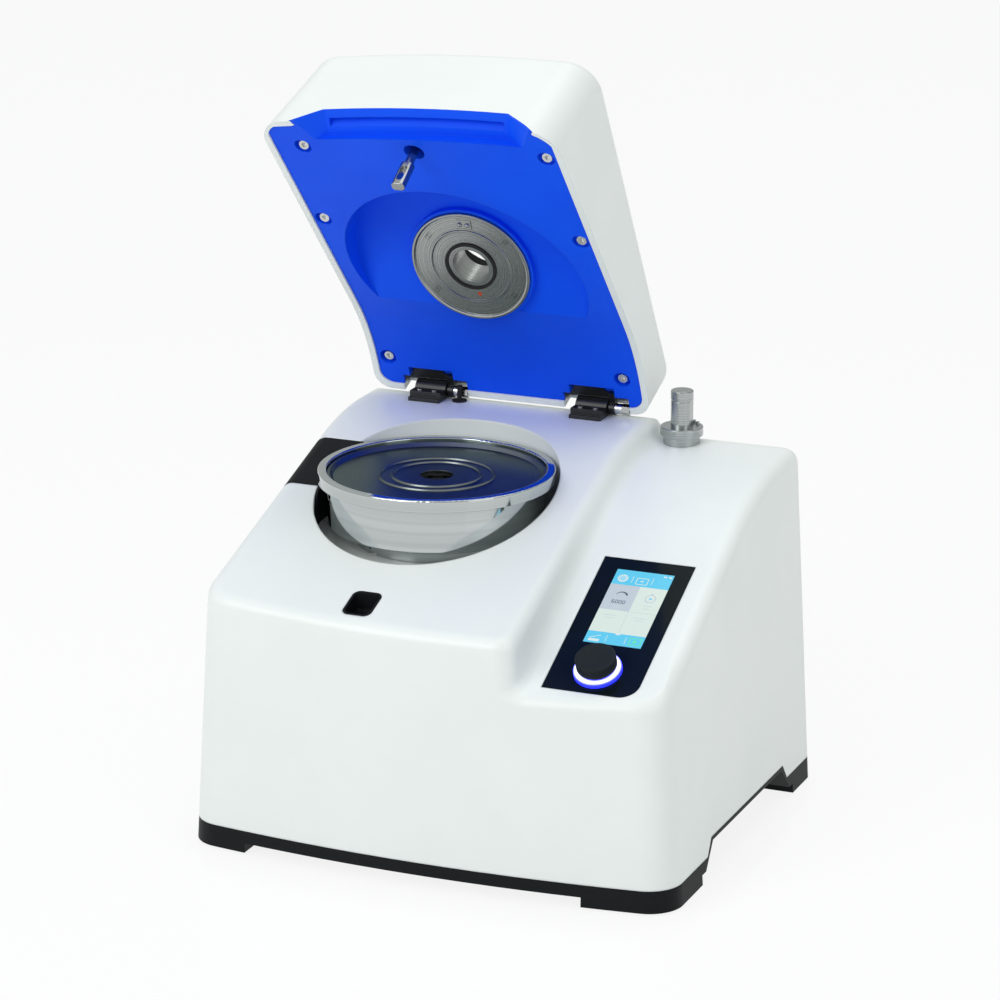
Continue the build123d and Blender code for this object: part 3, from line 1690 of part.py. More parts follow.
# Hinges at the rear of the deck
def hinge_blocks(form):
    """Fixed hinge blocks on the deck."""
    blocks = []
    for x in hinge_places:
        width = (x - block_width / 2, x + block_width / 2)
        foot = box_between(width, (block_front, block_rear), (deck_top - block_foot, deck_top + block_foot))
        ledge = box_between(width, (block_ledge_front, hinge_y), (deck_top - block_foot,
            deck_top + block_ledge))
        knuckle = level(knuckle_radius, *width, hinge_y, hinge_z)
        block = foot + ledge + knuckle - form
        blocks.append(block - level(pin_radius + running_gap, width[0] - overrun, width[1] + overrun,
            hinge_y, hinge_z))
    return blocks


def hinge_screws():
    """Screws on the ledges of the hinge blocks."""
    screws = []
    bottom = deck_top + block_ledge
    for x in hinge_places:
        for side in (-1, 1):
            middle = x + side * block_screw_pitch / 2
            screws.append(upright(middle, block_screw_y, block_screw, bottom, bottom + block_screw_height))
    return screws


def hinge_leaves():
    """Leaves under the panel with the arms and collars that grip the pins."""
    leaves = []
    for x in hinge_places:
        middle = x + leaf_shift
        top = leaf_bottom + leaf_skin
        left = x + block_width / 2 + collar_gap
        right = left + collar_width
        plate = box_between((middle - leaf_width / 2, middle + leaf_width / 2), (leaf_front, leaf_rear),
            (leaf_bottom, top))
        arm = box_between((middle, right), (leaf_rear - collar_width, leaf_rear), (leaf_bottom, top))
        link = box_between((left, right), (leaf_rear - collar_width, hinge_y), (hinge_z, top))
        collar = level(collar_radius, left, right, hinge_y, hinge_z)
        leaf = plate + arm + link + collar
        leaves.append(leaf - level(pin_radius, left - overrun, right + overrun, hinge_y, hinge_z))
    return leaves


def hinge_pins():
    """Pins through blocks and collars."""
    half = block_width / 2
    return [level(pin_radius, x - half - pin_overhang, x + half + pin_end, hinge_y, hinge_z)
        for x in hinge_places]


def hinge_sleeves():
    """Steel sleeves on the pins beside the collars."""
    sleeves = []
    for x in hinge_places:
        left = x + block_width / 2 + collar_gap + collar_width
        sleeve = level(sleeve_radius, left, left + sleeve_width, hinge_y, hinge_z)
        sleeves.append(sleeve - level(pin_radius, left - overrun, left + overrun, hinge_y, hinge_z))
    return sleeves


def hinge_nuts():
    """Nuts at the ends of the pins."""
    nuts = []
    for x in hinge_places:
        left = x + block_width / 2 + collar_gap + collar_width + sleeve_width
        right = x + block_width / 2 + pin_end
        nut = extrude(RegularPolygon(nut_radius, 6), amount=right - left)
        nut = Pos(left, hinge_y, hinge_z) * Rot(0, 90, 0) * nut
        nuts.append(nut - level(pin_radius, left - overrun, left + overrun, hinge_y, hinge_z))
    return nuts


def lid_stop():
    """Small stop pin on the deck."""
    base = upright(stop_x, stop_y, stop_base, deck_top, deck_top + stop_base_height)
    stem = upright(stop_x, stop_y, stop_stem, deck_top, deck_top + stop_height)
    tip = upright(stop_x, stop_y, stop_tip, deck_top + stop_height - stop_tip, deck_top + stop_height)
    return base + stem + tip


# Rear of the housing
def rear_box(x, z, width, height, front, back):
    """A box in the rear panel by its middle, size and depth range."""
    return box_between((x - width / 2, x + width / 2), (front, back), (z - height / 2, z + height / 2))


def rear_panel():
    """Rear panel with vent slots and openings for inlet, switch and fuses."""
    panel = rear_window(fit_gap, rear_y - rear_panel_skin, rear_y)
    for k in range(vent_slots):
        x = vent_x + (k - (vent_slots - 1) / 2) * vent_pitch
        slot = rear_box(x, vent_bottom + vent_height / 2, vent_width, vent_height, rear_y - overrun,
            body_depth)
        panel -= slot
    margin = 2 * fit_gap
    panel -= rear_box(inlet_x, inlet_z, inlet_body_width + margin, inlet_body_height + margin, 0, body_depth)
    inner = (switch_width - 2 * switch_wall, switch_height - 2 * switch_wall)
    panel -= rear_box(switch_x, inlet_z, inner[0] + switch_wall, inner[1] + switch_wall, 0, body_depth)
    for place in fuse_places():
        panel -= bar(fuse_radius - fuse_wall, 0, body_depth, *place)
    return panel


def bar(radius, front, back, x, z):
    """A cylinder along Y between two depths."""
    return Pos(x, (front + back) / 2, z) * Rot(90, 0, 0) * Cylinder(radius, back - front)


def fuse_places():
    """Middle of each fuse holder across and in height."""
    return [(fuse_x, inlet_z + side * fuse_pitch / 2) for side in (-1, 1)]


def power_inlet():
    """Appliance inlet with flange, socket and three blades."""
    back = rear_y + inlet_flange
    flange = rear_box(inlet_x, inlet_z, inlet_width, inlet_height, rear_y, back)
    flange = fillet(flange.edges().filter_by(Axis.Y), inlet_flange)
    case = rear_box(inlet_x, inlet_z, inlet_body_width, inlet_body_height, back - inlet_depth, back)
    socket_front = back - inlet_socket_depth
    socket = rear_box(inlet_x, inlet_z, inlet_socket_width, inlet_socket_height, socket_front, body_depth)
    inlet = flange + case - socket
    tip = back - inlet_blade
    for k in (-1, 0, 1):
        z = inlet_z + (inlet_blade_rise if k == 0 else -inlet_blade_rise)
        x = inlet_x + k * inlet_blade_pitch
        inlet += rear_box(x, z, inlet_blade, inlet_blade_height, socket_front, tip)
    return inlet


def switch_frame():
    """Frame and case of the mains switch."""
    back = rear_y + switch_wall
    wall = 2 * switch_wall
    frame = rear_box(switch_x, inlet_z, switch_width, switch_height, rear_y, back)
    case = rear_box(switch_x, inlet_z, switch_width - wall, switch_height - wall, back - switch_depth, back)
    hollow = rear_box(switch_x, inlet_z, rocker_width, 2 * rocker_radius + wall / 2,
        back - switch_depth + wall, body_depth)
    return frame + case - hollow


def power_switch():
    """Rocker of the mains switch."""
    axis_y = rear_y - rocker_pin
    left = switch_x - rocker_width / 2 + running_gap * 2
    right = switch_x + rocker_width / 2 - running_gap * 2
    body = level(rocker_radius, left, right, axis_y, inlet_z)
    face = side_prism([
        (axis_y - rocker_pin, inlet_z - body_width),
        (axis_y - rocker_pin, inlet_z + body_width),
        (rear_y + switch_wall + rocker_pin, inlet_z + body_width),
        (rear_y + switch_wall, inlet_z),
        (rear_y + switch_wall + rocker_pin, inlet_z - body_width),
    ], left, right)
    rocker = body & face
    return rocker.rotate(Axis((0, axis_y, inlet_z), (1, 0, 0)), -rocker_turn / 2)


def fuse_holders():
    """Two fuse holders in the rear panel."""
    holders = []
    for x, z in fuse_places():
        cap = bar(fuse_radius, rear_y, rear_y + fuse_cap, x, z)
        cap = fillet(cap.edges().filter_by(GeomType.CIRCLE).group_by(Axis.Y)[-1], fuse_wall / 2)
        holders.append(cap + bar(fuse_radius - fuse_wall - fit_gap, rear_y - fuse_depth, rear_y, x, z))
    return holders


def pieces():
    """All pieces of the mill by name, as lists of solids or single solids."""
    form = body_form()
    whole_shell = housing_shell(form, body_hollows())
    lid = lid_form(0)
    shell = lid_shell(lid)
    fixed = {
        "housing_shell": whole_shell - outlet_region(fit_gap),
        "outlet_cover": outlet_cover(whole_shell, form),
        "base_tray": base_tray(),
        "rubber_feet": foot_pads(),
        "chassis_plate": chassis_plate(),
        "motor_mounts": motor_mounts(),
        "lower_end_shield": lower_end_shield(),
        "upper_end_shield": upper_end_shield(),
        "motor_frame": motor_frame(),
        "stator_core": stator_core(),
        "stator_windings": stator_windings(),
        "bearings": bearings(),
        "motor_shaft": motor_shaft(),
        "armature": armature(),
        "cooling_fan": cooling_fan(),
        "well_seal": well_seal(),
        "labyrinth_disc": labyrinth_disc(),
        "grinding_rotor": grinding_rotor(),
        "pan_bowl": pan_bowl(),
        "ring_sieve": ring_sieve(),
        "pan_cover": pan_cover(),
        "drive_unit": drive_unit(),
        "heat_sink": heat_sink(),
        "mains_filter": mains_filter(),
        "lock_funnel": lock_funnel(form),
        "lock_body": [lock_body(), lock_motor()],
        "lock_hook": lock_hook(),
        "glass_panel": glass_panel(),
        "display_screen": display_screen(),
        "display_module": display_module(),
        "control_board": control_board(),
        "encoder_body": encoder_body(),
        "encoder_plunger": encoder_plunger(),
        "encoder_spindle": encoder_spindle(),
        "knob_light_ring": knob_light_ring(),
        "control_knob": control_knob(),
        "tool_seat": tool_seat_collar(),
        "lifting_tool": lifting_tool(),
        "tool_pins": tool_pins(),
        "hinge_blocks": hinge_blocks(form),
        "hinge_screws": hinge_screws(),
        "lid_stop": lid_stop(),
        "rear_panel": rear_panel(),
        "power_inlet": power_inlet(),
        "switch_frame": switch_frame(),
        "power_switch": power_switch(),
        "fuse_holders": fuse_holders(),
    }
    moving = {
        "lid_shell": shell,
        "lid_panel": lid_panel(lid) - shell,
        "lid_flange": lid_flange(),
        "flange_clip": flange_clip(),
        "bore_seal": bore_seal(),
        "feed_funnel": feed_funnel(lid),
        "eye_bolt": eye_bolt(),
        "eye_nut": eye_nut(),
        "panel_screws": panel_screws(),
        "hinge_leaves": hinge_leaves(),
        "hinge_pins": hinge_pins(),
        "hinge_sleeves": hinge_sleeves(),
        "hinge_nuts": hinge_nuts(),
    }
    for name, shape in moving.items():
        fixed[name] = opened(grouped(shape))
    return fixed


def grouped(shape):
    """Several solids as one compound, or the shape itself."""
    return Compound(children=[s for part in shape for s in part.solids()]) if isinstance(shape,
        list) else shape


def main():
    """Write every piece as its own file."""
    os.makedirs("parts", exist_ok=True)
    for name, shape in pieces().items():
        placed = Pos(0, -open_overhang / 2, 0) * grouped(shape)
        export_step(placed, os.path.join("parts", name + ".step"))


if __name__ == "__main__":
    main()
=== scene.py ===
import logging
from dataclasses import dataclass, field
from enum import Enum
from math import cos, pi, radians, sin
from typing import Iterable, Sequence

import bmesh
import bpy
from mathutils import Matrix, Vector


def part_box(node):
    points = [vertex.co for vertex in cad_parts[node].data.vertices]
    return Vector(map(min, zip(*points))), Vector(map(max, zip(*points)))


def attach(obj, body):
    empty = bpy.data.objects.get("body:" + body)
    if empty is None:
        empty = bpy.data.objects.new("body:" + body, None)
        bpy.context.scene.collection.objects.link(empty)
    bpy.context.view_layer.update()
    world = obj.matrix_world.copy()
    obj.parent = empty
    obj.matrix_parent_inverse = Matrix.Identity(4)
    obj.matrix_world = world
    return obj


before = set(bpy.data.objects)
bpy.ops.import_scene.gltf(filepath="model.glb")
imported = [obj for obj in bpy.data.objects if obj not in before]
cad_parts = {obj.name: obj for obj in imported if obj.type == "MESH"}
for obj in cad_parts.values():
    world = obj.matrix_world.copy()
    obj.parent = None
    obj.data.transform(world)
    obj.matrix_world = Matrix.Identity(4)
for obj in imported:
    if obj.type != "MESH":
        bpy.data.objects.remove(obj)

LOG = logging.getLogger("mill")
Colour = tuple[float, float, float]
Place = tuple[float, float, float]
Point = tuple[float, float]
MM = 0.001
# Signs of a rectangle's corners, in order.
CORNERS = ((-1, -1), (1, -1), (1, 1), (-1, 1))
# Shares of a noise between which one colour turns into the other.
FAINT, SOFT, FIRM = (0.2, 0.8), (0.25, 0.75), (0.3, 0.7)
# First and last angle of a whole circle, in degrees.
ALL_ROUND = (0.0, 360.0)


def dimmed(colour: Colour, share: float) -> Colour:
    """The colour with a share of its light."""
    return tuple(part * share for part in colour)


class Graph:
    """A material's node tree, with one call for every kind of node."""

    def __init__(self, name: str) -> None:
        """Starts an empty material called name."""
        self.material = bpy.data.materials.new(name)
        self.material.use_nodes = True
        self.tree = self.material.node_tree
        self.tree.nodes.clear()

    def node(self, kind: str, settings: dict | None = None, values: dict | None = None) -> bpy.types.Node:
        """Adds a node.

        Args:
            kind: Blender's type name of the node.
            settings: properties of the node, set first.
            values: sockets by name, each a number, a colour, or a signal to link.

        Returns:
            The new node.
        """
        node = self.tree.nodes.new(kind)
        for key, value in (settings or {}).items():
            setattr(node, key, value)
        for key, value in (values or {}).items():
            self.feed(node.inputs[key], value)
        return node

    def feed(self, socket: bpy.types.NodeSocket, value: object) -> None:
        """Links a signal to a socket, or sets the socket's own value."""
        if isinstance(value, Signal):
            self.tree.links.new(value.socket, socket)
        elif socket.type == "RGBA" and len(value) == 3:
            socket.default_value = (*value, 1.0)
        else:
            socket.default_value = value

    def signal(self, kind: str, settings: dict | None = None, values: dict | None = None,
               output: int | str = 0) -> "Signal":
        """Adds a node and returns one of its outputs.

        Args:
            kind: Blender's type name of the node.
            settings: properties of the node, set first.
            values: sockets by name.
            output: the output's place or name.

        Returns:
            The output as a signal.
        """
        return Signal(self, self.node(kind, settings, values).outputs[output])

    def place(self) -> "Signal":
        """The point on the piece, in metres."""
        return self.signal("ShaderNodeTexCoord", output="Object")

    def noise(self, place: "Signal", size: float, detail: float = 2.0) -> "Signal":
        """Soft random values about 0.5 whose patches are size metres wide."""
        values = {"Vector": place, "Scale": 1.0 / size, "Detail": detail}
        return self.signal("ShaderNodeTexNoise", {"noise_dimensions": "3D"}, values, "Fac")

    def stripes(self, along: "Signal", width: float) -> "Signal":
        """Random lines across one length, each about width metres wide."""
        values = {"W": along, "Scale": 1.0 / width, "Detail": 3.0, "Roughness": 0.6}
        return self.signal("ShaderNodeTexNoise", {"noise_dimensions": "1D"}, values, "Fac")

    def from_axis(self, centre: Place, axis: Place) -> tuple["Signal", "Signal", "Signal"]:
        """Where the point on the piece is, as seen from an axis.

        Args:
            centre: a point on the axis, in metres.
            axis: the axis as a unit vector.

        Returns:
            The vector from the centre, its length along the axis, and the distance from the axis.
        """
        arm = self.place().vector("SUBTRACT", centre)
        along = arm.vector("DOT_PRODUCT", axis, "Value")
        square = arm.vector("DOT_PRODUCT", arm, "Value")
        return arm, along, (square - along * along).root()

    def blend(self, share: "Signal", first: Colour, second: Colour) -> "Signal":
        """A colour between two by share."""
        mix = self.node("ShaderNodeMix", {"data_type": "RGBA"}, {"Factor": share})
        self.feed(mix.inputs[6], first)
        self.feed(mix.inputs[7], second)
        return Signal(self, mix.outputs[2])

    def relief(self, height: "Signal", depth: float, softness: float = 0.0) -> "Signal":
        """Surface normal for a relief.

        Args:
            height: the relief, from 0 to 1.
            depth: its depth in metres.
            softness: radius in metres by which sharp edges look rounded, or 0.

        Returns:
            The normal as a signal.
        """
        values = {"Height": height, "Strength": 1.0, "Distance": depth}
        if softness:
            values["Normal"] = self.signal("ShaderNodeBevel", {"samples": 6}, {"Radius": softness})
        return self.signal("ShaderNodeBump", None, values)

    def surface(self, values: dict) -> bpy.types.Material:
        """Ends the tree in the main shader with these sockets.

        Args:
            values: sockets of the shader by name.

        Returns:
            The finished material.
        """
        shader = self.node("ShaderNodeBsdfPrincipled", None, values)
        output = self.node("ShaderNodeOutputMaterial")
        self.tree.links.new(shader.outputs[0], output.inputs["Surface"])
        return self.material


@dataclass(frozen=True)
class Signal:
    """One output of a shader node, which can be added, multiplied and compared."""

    graph: Graph
    socket: bpy.types.NodeSocket

    def math(self, operation: str, *others: object) -> "Signal":
        """This signal and others through one maths node."""
        node = self.graph.node("ShaderNodeMath", {"operation": operation})
        for socket, value in zip(node.inputs, others):
            self.graph.feed(socket, value)
        return Signal(self.graph, node.outputs[0])

    def __add__(self, other: object) -> "Signal":
        """Sum."""
        return self.math("ADD", self, other)

    def __radd__(self, other: object) -> "Signal":
        """Sum, number first."""
        return self.math("ADD", other, self)

    def __sub__(self, other: object) -> "Signal":
        """Difference."""
        return self.math("SUBTRACT", self, other)

    def __rsub__(self, other: object) -> "Signal":
        """Difference, number first."""
        return self.math("SUBTRACT", other, self)

    def __mul__(self, other: object) -> "Signal":
        """Product."""
        return self.math("MULTIPLY", self, other)

    def __rmul__(self, other: object) -> "Signal":
        """Product, number first."""
        return self.math("MULTIPLY", other, self)

    def __truediv__(self, other: object) -> "Signal":
        """Quotient."""
        return self.math("DIVIDE", self, other)

    def __rtruediv__(self, other: object) -> "Signal":
        """Quotient, number first."""
        return self.math("DIVIDE", other, self)

    def root(self) -> "Signal":
        """Square root."""
        return self.math("SQRT", self)

    def vector(self, operation: str, other: object, output: str = "Vector") -> "Signal":
        """This vector and another through one vector node."""
        node = self.graph.node("ShaderNodeVectorMath", {"operation": operation})
        self.graph.feed(node.inputs[0], self)
        self.graph.feed(node.inputs[1], other)
        return Signal(self.graph, node.outputs[output])

    def between(self, low: float, high: float) -> "Signal":
        """0 below low, 1 above high, and smooth between them."""
        values = {"Value": self, "From Min": low, "From Max": high}
        return self.graph.signal("ShaderNodeMapRange", {"interpolation_type": "SMOOTHSTEP"}, values)

    def swing(self, spread: float) -> "Signal":
        """This noise moved to lie about 0 and made spread times as wide."""
        return (self - 0.5) * spread


@dataclass(frozen=True)
class Moulding:
    """Moulded plastic or rubber with a fine grain and a faint cloud of colour and gloss."""

    name: str
    colour: Colour
    second: Colour
    roughness: float
    roughness_spread: float = 0.08
    grain: float = 0.0006
    grain_depth: float = 0.00002
    cloud: float = 0.09
    softness: float = 0.0
    gloss: float = 0.5
    grain_spread: float = 0.06

    def material(self) -> bpy.types.Material:
        """The finish as a material."""
        graph = Graph(self.name)
        place = graph.place()
        cloud = graph.noise(place, self.cloud, 3.0)
        grain = graph.noise(place, self.grain, 1.0)
        return graph.surface({
            "Base Color": graph.blend(cloud.between(*SOFT), self.colour, self.second),
            "Roughness": cloud.swing(self.roughness_spread) + grain.swing(self.grain_spread) + self.roughness,
            "Normal": graph.relief(grain, self.grain_depth, self.softness),
            "Specular IOR Level": self.gloss,
        })


@dataclass(frozen=True)
class TurnedSteel:
    """Steel turned on a lathe: fine rings about one axis."""

    name: str
    colour: Colour
    second: Colour
    roughness: float
    centre: Place
    axis: Place = (0.0, 0.0, 1.0)
    ring: float = 0.0005
    ring_depth: float = 0.000012
    softness: float = 0.0003
    ripple: float = 0.12
    edge: Colour = (1.0, 1.0, 1.0)
    lean: float = 0.8
    haze: float = 0.02
    haze_spread: float = 0.06

    def material(self) -> bpy.types.Material:
        """The finish as a material."""
        graph = Graph(self.name)
        arm, along, radius = graph.from_axis(self.centre, self.axis)
        rings = graph.stripes(radius + along * self.lean, self.ring)
        haze = graph.noise(arm, self.haze, 3.0)
        return graph.surface({
            "Base Color": graph.blend(rings.between(*FIRM), self.colour, self.second),
            "Roughness": rings.swing(self.ripple) + haze.swing(self.haze_spread) + self.roughness,
            "Metallic": 1.0,
            "Specular Tint": self.edge,
            "Normal": graph.relief(rings, self.ring_depth, self.softness),
        })


@dataclass(frozen=True)
class PlainMetal:
    """Rolled, cast or plated metal with a faint run of scratches and a cloudy gloss."""

    name: str
    colour: Colour
    second: Colour
    roughness: float
    run: Place = (1.0, 1.0, 0.06)
    grain: float = 0.0008
    grain_depth: float = 0.000015
    softness: float = 0.0003
    run_spread: float = 0.14
    cloud: float = 0.03
    cloud_spread: float = 0.08

    def material(self) -> bpy.types.Material:
        """The finish as a material."""
        graph = Graph(self.name)
        place = graph.place()
        run = graph.noise(place.vector("MULTIPLY", self.run), self.grain)
        cloud = graph.noise(place, self.cloud, 3.0)
        return graph.surface({
            "Base Color": graph.blend(cloud.between(*FAINT), self.colour, self.second),
            "Roughness": run.swing(self.run_spread) + cloud.swing(self.cloud_spread) + self.roughness,
            "Metallic": 1.0,
            "Normal": graph.relief(run, self.grain_depth, self.softness),
        })


@dataclass(frozen=True)
class Banded:
    """Sheets or wires lying on each other, seen as fine level bands."""

    name: str
    colour: Colour
    second: Colour
    pitch: float
    roughness: float
    depth: float = 0.3
    cloud: float = 0.004
    cloud_spread: float = 0.1

    def material(self) -> bpy.types.Material:
        """The finish as a material."""
        graph = Graph(self.name)
        place = graph.place()
        angle = place.vector("DOT_PRODUCT", (0.0, 0.0, 1.0), "Value") * (2.0 * pi / self.pitch)
        share = (angle.math("SINE", angle) + 1.0) * 0.5
        cloud = graph.noise(place, self.cloud)
        return graph.surface({
            "Base Color": graph.blend(share, self.colour, self.second),
            "Roughness": cloud.swing(self.cloud_spread) + self.roughness,
            "Metallic": 1.0,
            "Normal": graph.relief(share, self.pitch * self.depth),
        })


@dataclass(frozen=True)
class Glow:
    """Lit plastic, white where it is thick and coloured towards its edges."""

    name: str
    centre: Place
    axis: Place
    inner: float
    outer: float
    core: Colour = (0.80, 0.82, 1.0)
    rim: Colour = (0.02, 0.03, 1.0)
    strength: float = 1.5
    rise: float = 0.45
    fall: float = 0.4
    cloud: float = 0.004

    def material(self) -> bpy.types.Material:
        """The finish as a material."""
        graph = Graph(self.name)
        arm, _, radius = graph.from_axis(self.centre, self.axis)
        cloud = graph.noise(arm, self.cloud)
        width = self.outer - self.inner
        rise = radius.between(self.inner, self.inner + width * self.rise)
        fall = 1.0 - radius.between(self.outer - width * self.fall, self.outer)
        light = graph.blend(rise * fall * (cloud * 0.5 + 0.8), self.rim, self.core)
        return graph.surface({
            "Base Color": light,
            "Roughness": cloud.swing(0.05) + 0.3,
            "Emission Color": light,
            "Emission Strength": self.strength,
        })


@dataclass(frozen=True)
class Ink:
    """One colour of the lit display, with the faint rows of its dots."""

    name: str
    colour: Colour
    strength: float = 0.55
    dot: float = 0.00025
    gap: float = 0.9
    unlit: Point = (0.45, 0.5)

    def material(self) -> bpy.types.Material:
        """The finish as a material."""
        graph = Graph(self.name)
        dots = graph.noise(graph.place(), self.dot, 0.0)
        low, high = (dimmed(self.colour, share) for share in self.unlit)
        return graph.surface({
            "Base Color": graph.blend(dots, low, high),
            "Roughness": dots.swing(0.04) + 0.2,
            "Emission Color": graph.blend(dots.between(*FIRM), dimmed(self.colour, self.gap), self.colour),
            "Emission Strength": self.strength,
        })


class Shade(Enum):
    """The colours of the display."""

    SKY = Ink("display_sky", (0.13, 0.62, 0.86))
    GREY = Ink("display_grey", (0.55, 0.62, 0.66))
    PALE = Ink("display_pale", (0.72, 0.82, 0.74))
    LINE = Ink("display_line", (0.60, 0.70, 0.68))
    DARK = Ink("display_dark", (0.06, 0.10, 0.12))
    CREAM = Ink("display_cream", (0.72, 0.84, 0.80))
    GREEN = Ink("display_green", (0.16, 0.85, 0.30))


def add_mesh(name: str, points: Sequence[Sequence[float]], faces: Sequence[Sequence[int]],
             place: Matrix | None = None) -> bpy.types.Object:
    """A new object from corners and faces.

    Args:
        name: name of the piece.
        points: corners in metres.
        faces: corner numbers of each face.
        place: where the mesh goes.

    Returns:
        The object, at the origin, with its place in its mesh.
    """
    mesh = bpy.data.meshes.new(name)
    mesh.from_pydata([tuple(point) for point in points], [], [tuple(face) for face in faces])
    if place is not None:
        mesh.transform(place)
    made = bmesh.new()
    made.from_mesh(mesh)
    bmesh.ops.recalc_face_normals(made, faces=made.faces)
    made.to_mesh(mesh)
    made.free()
    return add_object(name, mesh)


def add_object(name: str, data: bpy.types.ID) -> bpy.types.Object:
    """A new object of the scene that holds these data."""
    thing = bpy.data.objects.new(name, data)
    bpy.context.scene.collection.objects.link(thing)
    return thing


def add_sheet(name: str, half: Point) -> bpy.types.Object:
    """A flat rectangle about the origin, by half its width and height."""
    return add_mesh(name, [(x, y, 0.0) for x, y in oblong(half)], [(0, 1, 2, 3)])


def oblong(half: Point, middle: Point = (0.0, 0.0)) -> list[Point]:
    """Corners of a rectangle, by half its width and height."""
    return [(middle[0] + a * half[0], middle[1] + b * half[1]) for a, b in CORNERS]


def ring(radius: float, sides: int) -> list[Point]:
    """Corners of a regular outline about the origin."""
    angles = [2 * pi * side / sides for side in range(sides)]
    return [(radius * cos(angle), radius * sin(angle)) for angle in angles]


def settle(piece: bpy.types.Object, body: str, finish: bpy.types.Material | None = None) -> None:
    """Gives a piece its finish, its body and its slot, and reports it.

    Args:
        piece: the piece.
        body: the CAD body that it moves with.
        finish: its material, if it has none yet.
    """
    if finish is not None:
        piece.data.materials.clear()
        piece.data.materials.append(finish)
    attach(piece, body)
    LOG.info("piece %s on %s, %d faces", piece.name, body, len(piece.data.polygons))


def frame_at(origin: Sequence[float], across: Sequence[float], up: Sequence[float]) -> Matrix:
    """A matrix whose X runs across and whose Y runs up the face, with its Z out of it.

    Args:
        origin: the face's middle.
        across: direction of X.
        up: direction of Y.

    Returns:
        The matrix.
    """
    first = Vector(across).normalized()
    second = Vector(up).normalized()
    third = first.cross(second)
    return Matrix((
        (first.x, second.x, third.x, origin[0]),
        (first.y, second.y, third.y, origin[1]),
        (first.z, second.z, third.z, origin[2]),
        (0.0, 0.0, 0.0, 1.0),
    ))


@dataclass
class RoundRepeat:
    """Copies of one small piece round a circle, made with Geometry Nodes."""

    name: str
    count: int
    radius: float
    finish: bpy.types.Material

    def tree(self) -> bpy.types.NodeTree:
        """The node tree with its named inputs."""
        tree = bpy.data.node_groups.new(self.name + "_round", "GeometryNodeTree")
        kinds = {"Piece": "Geometry", "Count": "Int", "Radius": "Float", "Turn": "Float",
                 "Finish": "Material"}
        for name, kind in kinds.items():
            tree.interface.new_socket(name, in_out="INPUT", socket_type="NodeSocket" + kind)
        tree.interface.new_socket("Pieces", in_out="OUTPUT", socket_type="NodeSocketGeometry")
        nodes, link = tree.nodes, tree.links.new
        start, end = nodes.new("NodeGroupInput"), nodes.new("NodeGroupOutput")
        circle = nodes.new("GeometryNodeMeshCircle")
        index = nodes.new("GeometryNodeInputIndex")
        angle = nodes.new("ShaderNodeMath")
        angle.operation = "MULTIPLY"
        turn = nodes.new("ShaderNodeCombineXYZ")
        copies = nodes.new("GeometryNodeInstanceOnPoints")
        real = nodes.new("GeometryNodeRealizeInstances")
        paint = nodes.new("GeometryNodeSetMaterial")
        link(start.outputs["Count"], circle.inputs["Vertices"])
        link(start.outputs["Radius"], circle.inputs["Radius"])
        link(index.outputs[0], angle.inputs[0])
        link(start.outputs["Turn"], angle.inputs[1])
        link(angle.outputs[0], turn.inputs["Z"])
        link(circle.outputs["Mesh"], copies.inputs["Points"])
        link(start.outputs["Piece"], copies.inputs["Instance"])
        link(turn.outputs[0], copies.inputs["Rotation"])
        link(copies.outputs[0], real.inputs[0])
        link(real.outputs[0], paint.inputs["Geometry"])
        link(start.outputs["Finish"], paint.inputs["Material"])
        link(paint.outputs[0], end.inputs[0])
        return tree

    def made(self, piece: bpy.types.Object, place: Matrix) -> bpy.types.Object:
        """The finished ring of copies.

        Args:
            piece: the small piece, which is used up.
            place: where the ring's middle goes.

        Returns:
            One object with all copies.
        """
        tree = self.tree()
        modifier = piece.modifiers.new(self.name, "NODES")
        modifier.node_group = tree
        values = {"Count": self.count, "Radius": self.radius, "Turn": 2.0 * pi / self.count,
                  "Finish": self.finish}
        for item in tree.interface.items_tree:
            if item.in_out == "INPUT" and item.name in values:
                modifier[item.identifier] = values[item.name]
        bpy.context.view_layer.update()
        seen = piece.evaluated_get(bpy.context.evaluated_depsgraph_get())
        mesh = bpy.data.meshes.new_from_object(seen)
        bpy.data.objects.remove(piece)
        bpy.data.node_groups.remove(tree)
        mesh.transform(place)
        return add_object(self.name, mesh)


